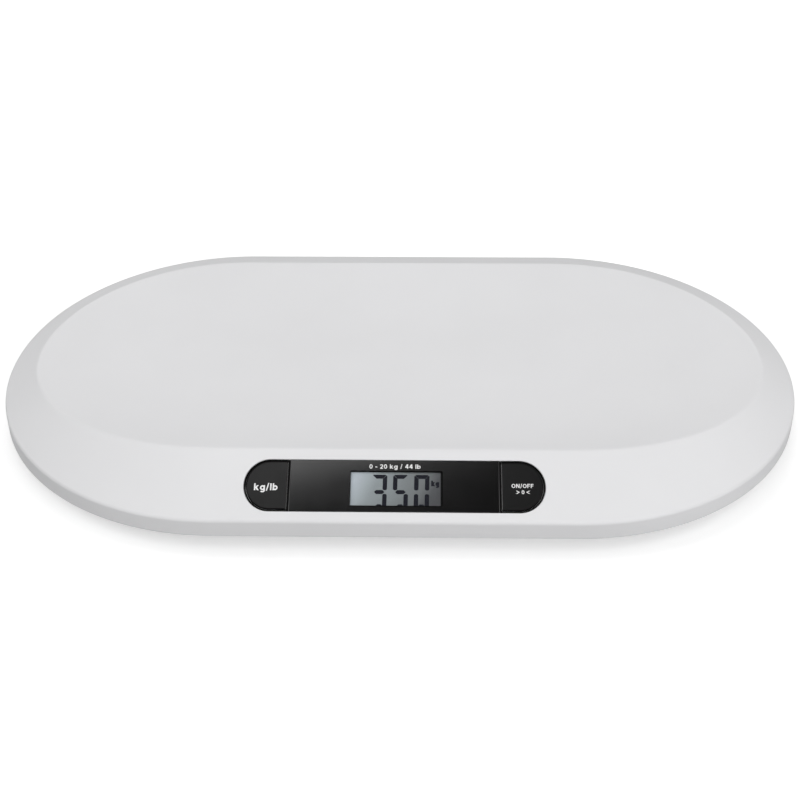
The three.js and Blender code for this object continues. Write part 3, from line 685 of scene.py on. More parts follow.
def panel_outline(growth=0):
    """The panel's outline moved outwards by an even amount."""
    centre = PANEL_LENGTH / 2 - PANEL_END_REACH
    reach = PANEL_END_REACH + growth
    half_width = PANEL_WIDTH / 2 + growth
    return (arc(centre, 0, reach, half_width, -QUARTER, QUARTER, PANEL_END_STEPS)
            + arc(-centre, 0, reach, half_width, QUARTER, 3 * QUARTER, PANEL_END_STEPS))


def corner_arc(centre_x, centre_y, radius, turn):
    """A quarter circle, a number of quarter turns round."""
    return arc(centre_x, centre_y, radius, radius, turn * QUARTER, (turn + 1) * QUARTER,
               CORNER_STEPS)


def rounded_rectangle(length, width, radius, centre=(0, 0)):
    points = []
    for turn, (side_x, side_y) in enumerate([(1, 1), (-1, 1), (-1, -1), (1, -1)]):
        points += corner_arc(centre[0] + side_x * (length / 2 - radius),
                             centre[1] + side_y * (width / 2 - radius), radius, turn)
    return points


def window_outline(growth=0, size=(WINDOW_LENGTH, WINDOW_WIDTH), radius=WINDOW_CORNER_RADIUS):
    length, width = size
    return rounded_rectangle(length + 2 * growth, width + 2 * growth, radius,
                             (WINDOW_X, WINDOW_Y))


def key_outline(margin, side, start):
    """The D at one end of the panel, a margin inside the panel's edge."""
    end_centre = PANEL_LENGTH / 2 - PANEL_END_REACH
    half_width = PANEL_WIDTH / 2 - margin
    corner = SPLIT_CORNER_RADIUS
    points = arc(end_centre, 0, PANEL_END_REACH - margin, half_width, -QUARTER, QUARTER,
                 PANEL_END_STEPS)
    for turn, height in ((1, half_width - corner), (2, corner - half_width)):
        points += corner_arc(start + corner, height, corner, turn)
    return [(side * x, side * y) for x, y in points]


# Tray shell

def rounded_corner(before, corner, after, radius, steps=CORNER_STEPS):
    """An arc that touches both lines of a corner in a section."""
    before, corner, after = Vector(before), Vector(corner), Vector(after)
    into = (corner - before).normalized()
    out = (after - corner).normalized()
    turn = math.acos(into.dot(out))
    tangent = radius * math.tan(turn / 2)
    centre = corner + (out - into).normalized() * math.hypot(radius, tangent)
    start = corner - into * tangent - centre
    side = math.copysign(1, into.x * out.y - into.y * out.x)
    return [tuple(centre + Matrix.Rotation(side * turn * step / steps, 2) @ start)
            for step in range(steps + 1)]


def tray_section(crest_reach, crest_top, floor_reach):
    """Reach and height from the skirt's foot over the crest to the dish's floor."""
    foot = (OUTER_REACH, SKIRT_BOTTOM)
    inner_foot = (OUTER_REACH - TRAY_WALL, SKIRT_BOTTOM)
    shoulder = (OUTER_REACH, SHOULDER_HEIGHT)
    crest = (crest_reach, crest_top)
    run = crest_reach - floor_reach
    rise = crest_top - DISH_FLOOR_HEIGHT
    halfway = (crest_reach - run / 2, DISH_FLOOR_HEIGHT)
    foot_arc = rounded_corner(inner_foot, foot, shoulder, FOOT_EDGE_RADIUS)
    shoulder_arc = rounded_corner(foot, shoulder, crest, SHOULDER_RADIUS, SHOULDER_STEPS)
    crest_arc = rounded_corner(shoulder, crest, halfway, CREST_RADIUS, CREST_STEPS)
    dish_start = crest_arc[-1][0]
    dish = []
    for step in range(1, DISH_STEPS + 1):
        reach = dish_start + (floor_reach - dish_start) * step / DISH_STEPS
        share = (reach - floor_reach) / run
        dish.append((reach, DISH_FLOOR_HEIGHT + rise * share * share))
    return foot_arc + shoulder_arc + crest_arc + dish


def inset_section(section, thickness):
    """The section moved into the wall by an even thickness."""
    last = section[-1]
    padded = [(section[0][0] - OVERRUN, section[0][1])] + section + [(last[0] - OVERRUN, last[1])]
    moved = []
    for index, (reach, height) in enumerate(section):
        into = (Vector(padded[index + 1]) - Vector(padded[index])).normalized()
        out = (Vector(padded[index + 2]) - Vector(padded[index + 1])).normalized()
        middle = (into + out).normalized()
        offset = thickness / middle.dot(into)
        moved.append((reach - middle.y * offset, height + middle.x * offset))
    return moved


def ring(side_point, end_point):
    """One closed ring: straight sides, and round ends whose height eases over to the ends'."""
    side_reach, side_height = side_point
    end_reach, end_height = end_point
    points = []
    for end in (1, -1):
        for step in range(END_STEPS + 1):
            angle = math.pi * (step / END_STEPS - 0.5)
            outward = math.cos(angle)
            points.append((
                end * (STRAIGHT_HALF + end_reach * outward),
                end * side_reach * math.sin(angle),
                side_height + (end_height - side_height) * outward * outward,
            ))
    return points


def wall_height(tray, place):
    """The height of the tray's outer surface over a place."""
    above = Vector((place[0], place[1], 2 * CREST_HEIGHT)) * MM
    return tray.ray_cast(above, Vector((0, 0, -1)))[1].z / MM


def pan_place(margin, degrees):
    """A place on the base's pan: a margin in from its edge, at an angle round the end's centre."""
    angle = math.radians(degrees)
    reach = PAN_REACH - margin
    return STRAIGHT_HALF + reach * math.cos(angle), reach * math.sin(angle)


def base_screw_places():
    places = []
    for x, y in (pan_place(END_SCREW_MARGIN, END_SCREW_ANGLE),
                 pan_place(SIDE_SCREW_MARGIN, SIDE_SCREW_ANGLE)):
        places += [(x, y), (-x, y), (-x, -y), (x, -y)]
    return places


def foot_places():
    x, y = pan_place(FOOT_MARGIN, FOOT_ANGLE)
    return list(zip(FEET, [(-x, -y), (x, -y), (-x, y), (x, y)]))


def tray_shell():
    side = tray_section(OUTER_REACH - CREST_INSET, CREST_HEIGHT, DISH_FLOOR_HALF_WIDTH)
    end = tray_section(
        OUTER_REACH - CREST_END_INSET, CREST_HEIGHT - CREST_END_DROP, DISH_FLOOR_END_REACH)
    outside = [ring(*pair) for pair in zip(side, end)]
    skip = CORNER_STEPS + 1
    inside = [ring(*pair) for pair in zip(
        inset_section(side, TRAY_WALL)[skip:], inset_section(end, TRAY_WALL)[skip:])]
    inner_foot = (OUTER_REACH - TRAY_WALL, SKIRT_BOTTOM)
    inside.insert(0, ring(inner_foot, inner_foot))
    tray = make_piece("tray_skin", stack(inside[::-1] + outside), "tray", ["tray_shell"])

    through_seat = SEAT_BOTTOM - OVERRUN, SEAT_TOP + OVERRUN
    seat = prism(panel_outline(SEAT_MARGIN), [(SEAT_BOTTOM, 0), (-TRAY_WALL / 2, 0)])
    recess = prism(
        panel_outline(GAP),
        [(SEAT_TOP, 0), (-RECESS_CHAMFER, 0), (-RECESS_CHAMFER / 3, RECESS_CHAMFER / 3),
         (0, RECESS_CHAMFER), (OVERRUN, RECESS_CHAMFER + OVERRUN)])
    cell_hole = prism(window_outline(2 * GAP, CELL_SIZE),
                      [(height, 0) for height in through_seat])
    key_holes = [column(KEY_POST_RADIUS + GAP, *through_seat, (side * KEY_POST_AT, 0))
                 for side in (-1, 1)]
    places = base_screw_places()
    posts = [column(SHELL_POST_RADIUS, BOSS_TOP + GAP, wall_height(tray, place) - SHELL_POST_ROOT,
                    place) for place in places]
    pilots = [column(SCREW_RADIUS + GAP, BOSS_TOP, SCREW_SEAT + SCREW_REACH + GAP, place)
              for place in places]
    combine(tray, [cutter([seat], PANEL), cutter(posts)], "UNION")
    combine(tray, [cutter([recess], PANEL), cutter([cell_hole, *key_holes], PANEL),
                   cutter(pilots)], "DIFFERENCE")
    smooth(tray)


# Display panel

def panel_plate(name, outlines):
    """The panel's plate from its outline and holes, its front edges rounded."""
    curve = bpy.data.curves.new(name, "CURVE")
    curve.dimensions = "2D"
    curve.fill_mode = "BOTH"
    for index, outline in enumerate(outlines):
        points = outline[::-1] if index else outline
        spline = curve.splines.new("POLY")
        spline.points.add(len(points) - 1)
        for place, (x, y) in zip(spline.points, points):
            place.co = (x * MM, y * MM, 0, 1)
        spline.use_cyclic_u = True
    curve.extrude = (PANEL_THICKNESS / 2 - PANEL_BEVEL) * MM
    curve.bevel_depth = PANEL_BEVEL * MM
    curve.bevel_resolution = PLATE_BEVEL_STEPS
    curve.offset = -PANEL_BEVEL * MM
    holder = placed_object(name, curve)
    shapes = bpy.context.evaluated_depsgraph_get()
    mesh = bpy.data.meshes.new_from_object(holder.evaluated_get(shapes))
    bpy.data.objects.remove(holder)
    move = Matrix.Translation((0, 0, -PANEL_THICKNESS / 2 * MM))
    mesh.transform(metres(PANEL) @ move)
    mesh.materials.clear()
    mesh.materials.append(SLOT_MATERIALS["panel"])
    piece = placed_object(name, mesh)
    weld(piece)
    return piece


def metres(place):
    scaled = place.copy()
    scaled.translation = place.translation * MM
    return scaled


def weld(piece):
    mesh = bmesh.new()
    mesh.from_mesh(piece.data)
    bmesh.ops.remove_doubles(mesh, verts=mesh.verts, dist=WELD_REACH * MM)
    mesh.to_mesh(piece.data)
    mesh.free()


def display_bezel():
    sides = (-1, 1)
    key_holes = [key_outline(PANEL_RIM, side, SPLIT_END - SPLIT_CLEARANCE) for side in sides]
    bezel = panel_plate("panel_frame", [panel_outline(), *key_holes])
    dress(bezel, "housing", ["display_bezel"])
    smooth(bezel)
    pocket = prism(window_outline(GAP, CELL_SIZE),
                   [(-PANEL_THICKNESS - OVERRUN, 0), (-WINDOW_PLATE, 0)])
    opening = prism(window_outline(),
                    [(-PANEL_THICKNESS - OVERRUN, 0), (-WINDOW_BEVEL, 0),
                     (OVERRUN, WINDOW_BEVEL + OVERRUN)])
    grooves = [
        prism(key_outline(GROOVE_MARGIN, side, KEY_SPLIT),
              [(-GROOVE_DEPTH, 0), (-GROOVE_CHAMFER, 0), (OVERRUN, GROOVE_CHAMFER + OVERRUN)])
        for side in sides
    ]
    slots = [
        block(*sorted((side * SPLIT_START, side * SPLIT_END)), PANEL_WIDTH / 2 + OVERRUN,
              -GROOVE_DEPTH, OVERRUN)
        for side in sides
    ]
    combine(bezel, [cutter([pocket], PANEL)], "DIFFERENCE")
    combine(bezel, [cutter([split_edge(side) for side in sides], PANEL, edge_black),
                    cutter([*grooves, opening], PANEL, groove_black),
                    cutter(slots, PANEL, groove_black)], "DIFFERENCE", "TRANSFER")
    smooth(bezel)


def split_edge(side):
    """What a split line's sloping edges take off the panel, as a trough along Y."""
    flare = SPLIT_EDGE_RUN * (1 + OVERRUN / SPLIT_EDGE_DROP)
    section = [(SPLIT_START, -SPLIT_EDGE_DROP), (SPLIT_END, -SPLIT_EDGE_DROP),
               (SPLIT_END + flare, OVERRUN), (SPLIT_START - flare, OVERRUN)]
    reach = PANEL_WIDTH / 2 + OVERRUN
    return stack([[(side * x, side * y, z) for x, z in section] for y in (reach, -reach)])


def key(name, side, body, node_name):
    outline = key_outline(PANEL_RIM + GAP, side, SPLIT_END)
    cap = make_piece(name, prism(outline, KEY_EDGE), "button", [node_name], PANEL, body)
    cap.data.materials.append(edge_black)
    cap.data.materials.append(groove_black)
    for face in cap.data.polygons:
        level = face.normal.dot(PANEL.col[2].xyz)
        inward = -side * face.normal.x
        if SIDE_LEVEL < level < FLAT_LEVEL and inward > SIDE_LEVEL:
            face.material_index = 1
        elif abs(level) < FLAT_LEVEL:
            face.material_index = 2
    barb_top = SEAT_BOTTOM - GAP
    post = turned([
        (KEY_BARB_RADIUS - GAP, barb_top - KEY_BARB_HEIGHT),
        (KEY_BARB_RADIUS, barb_top),
        (KEY_POST_RADIUS, barb_top),
        (KEY_POST_RADIUS, -KEY_PLATE / 2),
    ], (side * KEY_POST_AT, 0))
    combine(cap, [cutter([post], PANEL)], "UNION")
    smooth(cap)


# Display figures and printed legends

def segment_shapes():
    """The seven strokes of one figure, mitred where they meet at its corners, anticlockwise."""
    width, height, stroke = DIGIT_WIDTH, DIGIT_HEIGHT, DIGIT_STROKE
    corner, gap, half = DIGIT_CORNER, DIGIT_GAP, DIGIT_STROKE / 2
    middle = height / 2
    end = middle + half - gap
    bar_shape = [
        (half + gap, middle), (stroke + gap, middle - half), (width - stroke - gap, middle - half),
        (width - half - gap, middle), (width - stroke - gap, middle + half),
        (stroke + gap, middle + half),
    ]
    upper_left = [
        (stroke / 4, end), (stroke * 3 / 4, end), (stroke, end + stroke / 4),
        (stroke, height - stroke - gap), (corner / 2, height - corner / 2 - gap),
        (0, height - corner), (0, end + stroke / 4),
    ]

    def level_stroke(depth):
        return [
            (corner, 0), (width - corner, 0), (width - corner / 2 - gap, corner / 2),
            (width - depth - gap, depth), (depth + gap, depth), (corner / 2 + gap, corner / 2),
        ]

    def flipped(points, across, over):
        moved = [(width - x if across else x, height - y if over else y) for x, y in points]
        return moved if across == over else moved[::-1]

    return {
        "a": flipped(level_stroke(stroke), False, True),
        "g": bar_shape,
        "d": level_stroke(DIGIT_FOOT_STROKE),
        "f": upper_left,
        "b": flipped(upper_left, True, False),
        "e": flipped(upper_left, False, True),
        "c": flipped(upper_left, True, True),
    }


FIGURES = {"3": "abgcd", "5": "afgcd", "0": "abcdef"}


def display_digits():
    """Plain figures on the cell, with a point after the first."""
    shapes = segment_shapes()
    start = DIGIT_WIDTH + (DIGIT_PITCH - DIGIT_WIDTH - POINT_SIZE) / 2
    end = start + POINT_SIZE
    outlines = [(FIRST_DIGIT_X + index * DIGIT_PITCH, shapes[stroke])
                for index, figure in enumerate("350") for stroke in FIGURES[figure]]
    outlines.append((FIRST_DIGIT_X,
                     [(start, 0), (end, 0), (end, POINT_SIZE), (start, POINT_SIZE)]))
    make_piece("lcd_figures", flat([
        [(left + x + DIGIT_SLANT * (y - DIGIT_HEIGHT / 2), DIGIT_TOP - DIGIT_HEIGHT + y,
          CELL_TOP + INK_LIFT) for x, y in outline]
        for left, outline in outlines
    ]), "lcd", place=PANEL, ink=ink_navy)


# Characters are drawn from bars and bands in a cell whose capitals are 10 high

CAPITAL = 10
SMALL = 7.2
LETTER_SPACE = 1.5
WORD_SPACE = 2.6
INK_STEP = 0.002
BAND_DEGREES = 12


def bar(start_x, start_y, end_x, end_y, weight):
    """A straight stroke, with level ends if it is steep and upright ends if it isn't."""
    run, rise = end_x - start_x, end_y - start_y
    reach = weight / 2 * math.hypot(run, rise)
    if abs(rise) > abs(run) / 2:
        half = reach / abs(rise)
        return [(start_x - half, start_y), (start_x + half, start_y), (end_x + half, end_y),
                (end_x - half, end_y)]
    half = reach / abs(run)
    return [(start_x, start_y - half), (end_x, end_y - half), (end_x, end_y + half),
            (start_x, start_y + half)]


def bands(centre_x, centre_y, reach_x, reach_y, weight, start=0.0, end=360.0):
    """A curved stroke inside an oval's reach, as short straight pieces."""
    steps = max(4, round(abs(end - start) / BAND_DEGREES))
    angles = math.radians(start), math.radians(end)
    outer = arc(centre_x, centre_y, reach_x, reach_y, *angles, steps)
    inner = arc(centre_x, centre_y, reach_x - weight, reach_y - weight, *angles, steps)
    return [[outer[step], outer[step + 1], inner[step + 1], inner[step]] for step in range(steps)]


def characters(weight):
    """Each character's strokes and its width."""
    half = weight / 2
    middle = CAPITAL / 2
    stem = bar(half, 0, half, CAPITAL, weight)
    bowl = bands(3.6, SMALL / 2, 3.6, SMALL / 2, weight)
    return {
        " ": ([], WORD_SPACE),
        "l": ([stem], weight),
        "b": ([stem, *bowl], 7.2),
        "k": ([stem, bar(half + 0.6, 2.6, 5.4, SMALL, weight),
               bar(2.8, 4.0, 5.9, 0, weight * 1.05)], 7),
        "g": ([*bowl, bar(7.2 - half, -0.4, 7.2 - half, SMALL, weight),
               *bands(3.6, -0.4, 3.6, 2.7, weight, 0, -150)], 7.2),
        "/": ([bar(0.7, -0.8, 3.5, CAPITAL + 0.4, weight * 0.8)], 4.2),
        "0": (bands(3.3, middle, 3.3, middle, weight), 6.6),
        "O": (bands(4.5, middle, 4.5, middle, weight), 9),
        "2": ([*bands(3.2, 6.9, 3.2, 3.1, weight, 165, -38), bar(5.0, 5.4, 1.3, half, weight),
               bar(0, half, 6.4, half, weight)], 6.4),
        "4": ([bar(5, 0, 5, CAPITAL, weight), bar(0, 3.2, 6.9, 3.2, weight),
               bar(4.6, CAPITAL, half, 3.2, weight)], 6.9),
        "N": ([stem, bar(8 - half, 0, 8 - half, CAPITAL, weight),
               bar(half * 1.3, CAPITAL, 8 - half * 1.3, 0, weight)], 8),
        "F": ([stem, bar(0, CAPITAL - half, 6.4, CAPITAL - half, weight),
               bar(0, middle, 5.6, middle, weight)], 6.4),
        "-": ([bar(0, 3.9, 3.8, 3.9, weight)], 3.8),
        ">": ([bar(0, 1.2, 6.2, middle, weight), bar(0, 8.8, 6.2, middle, weight)], 6.2),
        "<": ([bar(0, middle, 6.2, 1.2, weight), bar(0, middle, 6.2, 8.8, weight)], 6.2),
    }


def legend(name, text, size, centre, body, slot="button", height=INK_LIFT, ink=ink_white,
           weight=1.9, wide=1.0):
    """Printed characters of a capital height, lying just above a surface of the panel."""
    shapes = characters(weight)
    scale = size / CAPITAL
    pen = (LETTER_SPACE - sum(shapes[letter][1] + LETTER_SPACE for letter in text)) / 2
    placed = []
    for letter in text:
        strokes, width = shapes[letter]
        for stroke in strokes:
            lift = height + len(placed) * INK_STEP
            placed.append([(centre[0] + (pen + x) * scale * wide,
                            centre[1] + (y - CAPITAL / 2) * scale, lift) for x, y in stroke])
        pen += width + LETTER_SPACE
    make_piece(name, flat(placed), slot, (), PANEL, body, ink)


def window_lens():
    """The clear window, its edges blacked: partly the black of the cement they sit in, partly
    painted shade of the window's walls.
    """
    outline = window_outline(-GAP, radius=WINDOW_CORNER_RADIUS - GAP)
    levels = [(-WINDOW_PLATE, 0), (-LENS_RECESS - LENS_EDGE, 0), (-LENS_RECESS, -LENS_EDGE)]
    lens = make_piece("window_lens", prism(outline, levels), "lens", ["lcd_lens"], PANEL)
    # The lens's side faces are black: painted shade along the window's walls.
    lens.data.materials.append(groove_black)
    for face in lens.data.polygons:
        face.material_index = int(abs(face.normal.dot(PANEL.col[2].xyz)) < FLAT_LEVEL)
    smooth(lens)


def cell_mask():
    """The dark border on the cell, inside the window: part print, part painted shade from the
    window's edges.
    """
    inner = rounded_rectangle(
        WINDOW_LENGTH - MASK_LEFT - MASK_RIGHT, WINDOW_WIDTH - MASK_BOTTOM - MASK_TOP,
        MASK_CORNER_RADIUS,
        (WINDOW_X + (MASK_LEFT - MASK_RIGHT) / 2, WINDOW_Y + (MASK_BOTTOM - MASK_TOP) / 2))
    points = [(x, y, CELL_TOP + INK_LIFT / 2) for x, y in inner + window_outline(GAP)]
    make_piece("cell_border", (points, band_faces(len(inner), 0, len(inner))), "lcd",
               place=PANEL, ink=groove_black)


# Underside: base cover, screws, feet, door and batteries

def base_pan():
    edge = OUTER_REACH - TRAY_WALL - BASE_EDGE_GAP
    flange_top = BASE_FLANGE_BOTTOM + BASE_THICKNESS
    lip_top = flange_top + BASE_LIP_HEIGHT
    foot = (PAN_REACH, BASE_FLOOR_BOTTOM)
    heel = (PAN_REACH + PAN_SLOPE, BASE_FLANGE_BOTTOM)
    rim = (edge, BASE_FLANGE_BOTTOM)
    centre = (PAN_CAP_REACH, BASE_FLOOR_BOTTOM)
    section = [centre]
    section += rounded_corner(centre, foot, heel, PAN_FILLET)
    section += rounded_corner(foot, heel, rim, PAN_FILLET)
    section += [
        rim,
        (edge, lip_top),
        (edge - BASE_LIP_THICKNESS, lip_top),
        (edge - BASE_LIP_THICKNESS, flange_top),
        (PAN_REACH + PAN_SLOPE - OVERRUN, flange_top),
        (PAN_REACH - OVERRUN, BASE_FLOOR_TOP),
        (PAN_CAP_REACH, BASE_FLOOR_TOP),
    ]
    return stack([ring(point, point) for point in section])


def foot_well(place):
    outer = WELL_RADIUS + WELL_WALL
    opening = CUP_RADIUS + 2 * GAP
    return turned([
        (opening, WELL_BOTTOM + WELL_EDGE / 2),
        (opening + WELL_EDGE / 2, WELL_BOTTOM),
        (outer - WELL_EDGE, WELL_BOTTOM),
        (outer, WELL_BOTTOM + WELL_EDGE),
        (outer, BASE_FLOOR_BOTTOM + OVERRUN),
        (WELL_RADIUS, BASE_FLOOR_BOTTOM + OVERRUN),
        (WELL_RADIUS, WELL_BOTTOM + WELL_LIP_HEIGHT),
        (opening, WELL_BOTTOM + WELL_LIP_HEIGHT),
    ], place, looped=True)


def base_cover():
    cover = make_piece("base_skin", base_pan(), "base", ["base_cover"])
    bay = block(-BAY_LENGTH / 2 - BAY_WALL, BAY_LENGTH / 2 + BAY_WALL, BAY_WIDTH / 2 + BAY_WALL,
                BASE_FLOOR_TOP - OVERRUN, BAY_ROOF + BAY_WALL)
    bosses = [column(BASE_BOSS_RADIUS, BASE_FLOOR_TOP - OVERRUN, BOSS_TOP, place)
              for place in base_screw_places()]
    wells = [foot_well(place) for _, place in foot_places()]
    rails = door_rails()
    combine(cover, [cutter([bay, *bosses]), cutter(wells), rails], "UNION")

    hollow = block(-BAY_LENGTH / 2, BAY_LENGTH / 2, BAY_WIDTH / 2,
                   BASE_FLOOR_BOTTOM - OVERRUN, BAY_ROOF)
    sinks = [turned([
        (SCREW_HEAD_RADIUS + GAP + SINK_CHAMFER + OVERRUN, BASE_FLOOR_BOTTOM - OVERRUN),
        (SCREW_HEAD_RADIUS + GAP, BASE_FLOOR_BOTTOM + SINK_CHAMFER),
        (SCREW_HEAD_RADIUS + GAP, SCREW_SEAT + GAP),
        (SCREW_RADIUS + GAP, SCREW_SEAT + GAP),
        (SCREW_RADIUS + GAP, BOSS_TOP + OVERRUN),
    ], place) for place in base_screw_places()]
    inward = CELL_PLATE_SIZE / 2 + LEAD_BEND
    lead_holes = [
        column(LEAD_HOLE_RADIUS, BASE_FLOOR_BOTTOM - OVERRUN, BASE_FLOOR_TOP + OVERRUN,
               (x - math.copysign(inward, x), y))
        for _, (x, y) in foot_places()
    ]
    combine(cover, [cutter([hollow, *sinks, *lead_holes])], "DIFFERENCE")
    smooth(cover)


def door_rails():
    """The frame that the door slides in, open at its +X end."""
    outer = DOOR_WIDTH / 2 + GAP + RAIL_WALL
    start = -DOOR_LENGTH / 2 - GAP - RAIL_WALL
    end = DOOR_LENGTH / 2
    outline = rounded_rectangle(end - start, 2 * outer, RAIL_CORNER, ((start + end) / 2, 0))
    rails = cutter([prism(outline, [(RAIL_BOTTOM, -RAIL_EDGE), (RAIL_BOTTOM + RAIL_EDGE, 0),
                                    (BASE_FLOOR_BOTTOM + OVERRUN, 0)])])
    for half_width, bottom in ((outer - RAIL_WALL, RAIL_BOTTOM + RAIL_LIP_THICKNESS),
                               (outer - RAIL_WALL - RAIL_LIP, RAIL_BOTTOM - OVERRUN)):
        track = block(start + RAIL_WALL, end + RAIL_WALL, half_width, bottom,
                      BASE_FLOOR_BOTTOM + 2 * OVERRUN)
        combine(rails, [cutter([track])], "DIFFERENCE")
    return rails


def base_screw(index, place):
    """A countersunk cover screw with a cross recess in its head."""
    bottom = SCREW_SEAT - SCREW_HEAD_HEIGHT
    third = SCREW_HEAD_HEIGHT / 3
    screw = make_piece(f"cover_screw_{index}", turned([
        (SCREW_HEAD_RADIUS - third, bottom),
        (SCREW_HEAD_RADIUS - third / 3, bottom + third / 3),
        (SCREW_HEAD_RADIUS, bottom + third),
        (SCREW_HEAD_RADIUS, SCREW_SEAT),
        (SCREW_RADIUS, SCREW_SEAT),
        (SCREW_RADIUS, SCREW_SEAT + SCREW_REACH - SCREW_RADIUS),
        (SCREW_RADIUS / 6, SCREW_SEAT + SCREW_REACH),
    ], place), "steel", [f"base_screw_{index}"])
    x, y = place
    half, width = SCREW_CROSS_LENGTH / 2, SCREW_CROSS_WIDTH / 2
    for reach_x, reach_y in ((half, width), (width, half)):
        recess = box(x - reach_x, x + reach_x, y - reach_y, y + reach_y, bottom - OVERRUN,
                     bottom + SCREW_CROSS_DEPTH)
        combine(screw, [cutter([recess])], "DIFFERENCE")
    smooth(screw)


def foot_pad(name, place):
    """A rubber pad with round grooves in its sole."""
    slope = PAD_GROOVE_DEPTH / 2
    profile = []
    for radius in PAD_GROOVES:
        inner = radius - PAD_GROOVE_WIDTH / 2
        outer = radius + PAD_GROOVE_WIDTH / 2
        profile += [(inner, 0), (inner + slope, PAD_GROOVE_DEPTH),
                    (outer - slope, PAD_GROOVE_DEPTH), (outer, 0)]
    profile += rounded_corner((0, 0), (PAD_RADIUS, 0), (PAD_RADIUS, PAD_THICKNESS), PAD_EDGE)
    profile.append((PAD_RADIUS, PAD_THICKNESS))
    smooth(make_piece(f"pad_{name}", turned(profile, place), "foot_rubber",
                      [f"foot_pad_{name}"]))


def foot_cup(name, place):
    """The cup that holds the pad and presses on the load cell."""
    flange_bottom = CUP_TOP - CUP_FLANGE_HEIGHT
    plate_top = CUP_BOTTOM + CUP_PLATE
    profile = rounded_corner((0, CUP_BOTTOM), (CUP_RADIUS, CUP_BOTTOM),
                             (CUP_RADIUS, flange_bottom), CUP_EDGE)
    profile += [
        (CUP_RADIUS, flange_bottom),
        (CUP_FLANGE_RADIUS - GAP, flange_bottom),
        (CUP_FLANGE_RADIUS, flange_bottom + GAP),
        (CUP_FLANGE_RADIUS, CUP_TOP),
        (CUP_RADIUS - CUP_WALL, CUP_TOP),
        (CUP_RADIUS - CUP_WALL, plate_top),
        (CUP_DOME_RADIUS, plate_top),
        (CUP_DOME_RADIUS, CUP_TOP),
    ]
    smooth(make_piece(f"cup_{name}", turned(profile, place), "base", [f"foot_cup_{name}"]))


def battery_door():
    outline = rounded_rectangle(DOOR_LENGTH, DOOR_WIDTH, DOOR_CORNER)
    levels = [(DOOR_BOTTOM, -DOOR_EDGE), (DOOR_BOTTOM + DOOR_EDGE, 0), (DOOR_TOP, 0)]
    door = make_piece("door_plate", prism(outline, levels), "base", ["battery_door"],
                      body="door")
    ridges = [
        prism(rounded_rectangle(RIDGE_WIDTH, RIDGE_LENGTH, RIDGE_WIDTH / 2.2,
                                (RIDGE_START + index * RIDGE_PITCH, 0)),
              [(DOOR_BOTTOM - RIDGE_HEIGHT, -RIDGE_WIDTH / 6),
               (DOOR_BOTTOM - RIDGE_HEIGHT / 2, 0), (DOOR_BOTTOM + RIDGE_HEIGHT, 0)])
        for index in range(RIDGE_COUNT)
    ]
    arrow = [(ARROW_TIP_X - ARROW_LENGTH, -ARROW_HALF_WIDTH), (ARROW_TIP_X, 0),
             (ARROW_TIP_X - ARROW_LENGTH, ARROW_HALF_WIDTH)]
    ridges.append(prism(arrow, [(DOOR_BOTTOM - ARROW_RELIEF, 0), (DOOR_BOTTOM + ARROW_RELIEF, 0)]))
    combine(door, [cutter(ridges)], "UNION")
    smooth(door)


def battery(index):
    """A round cell lying along X, its nub at +X or -X by turns."""
    start = -BATTERY_LENGTH / 2
    end = start + BATTERY_LENGTH - BATTERY_NUB_LENGTH
    edge = BATTERY_EDGE
    profile = [
        (BATTERY_RADIUS - 2 * edge, start),
        (BATTERY_RADIUS - edge, start),
        (BATTERY_RADIUS, start + edge),
        (BATTERY_RADIUS, end - edge),
        (BATTERY_RADIUS - edge, end),
        (BATTERY_NUB_RADIUS, end),
        (BATTERY_NUB_RADIUS, end + BATTERY_NUB_LENGTH - edge / 2),
        (BATTERY_NUB_RADIUS - edge / 2, end + BATTERY_NUB_LENGTH),
    ]
    side = 1 if index % 2 == 0 else -1
    across = (index - (BATTERY_COUNT - 1) / 2) * BATTERY_PITCH
    place = (Matrix.Translation((0, across, BATTERY_AXIS))
             @ Matrix.Rotation(side * math.pi / 2, 4, "Y"))
    smooth(make_piece(f"cell_{index + 1}", turned(profile), "battery", [f"battery_{index + 1}"],
                      place))


def underside():
    base_cover()
    for index, place in enumerate(base_screw_places(), 1):
        base_screw(index, place)
    for name, place in foot_places():
        foot_pad(name, place)
        foot_cup(name, place)
    battery_door()
    for index in range(BATTERY_COUNT):
        battery(index)


# Studio

CAMERA_ELEVATION = 35.28
CAMERA_ROLL = -0.494
CAMERA_YAW = -1.433
CAMERA_DISTANCE = 1055.5
CAMERA_AIM_HEIGHT = 28
PHOTO_WIDTH = 800
FOCAL_PIXELS = 1495
SHIFT_RIGHT_PIXELS = -1.12
SHIFT_DOWN_PIXELS = -26.04
SENSOR_WIDTH = 36
CAMERA_REACH = 50

# Lamps, in metres and watts: name, place and power, then aim, size and turn where they differ
LAMP_AIM = (0, 0, 0.03)
LAMP_SIZE = (1.4, 1.4)
LAMPS = (
    ("front", (0, -1.6, 2.0), 24.5),
    ("front_low", (0, -2.4, 0.8), 4),
    ("front_right", (1.7, -1.8, 0.9), 16),
    ("left", (-1.9, -0.2, 1.5), 15),
    ("right", (1.9, -0.2, 1.5), 11),
    ("back", (0, 2.2, 1.4), 14.5),
    ("ceiling", (-0.25, 0.076, 2.3), 5.2, (-0.25, 0.076, 0), (0.8, 0.4), 15),
)
WORLD_LEVEL = 0.15

FLOOR_SEEN = (0.68, 0.68, 0.68)
FLOOR_SCATTER = (0.42, 0.42, 0.42)
FLOOR_LIFT = 0.48
FLOOR_FADE_START = 0.5
FLOOR_FADE_END = 1.6
STUDIO_RADIUS = 5
STUDIO_HEIGHT = 3
STUDIO_SIDES = 96


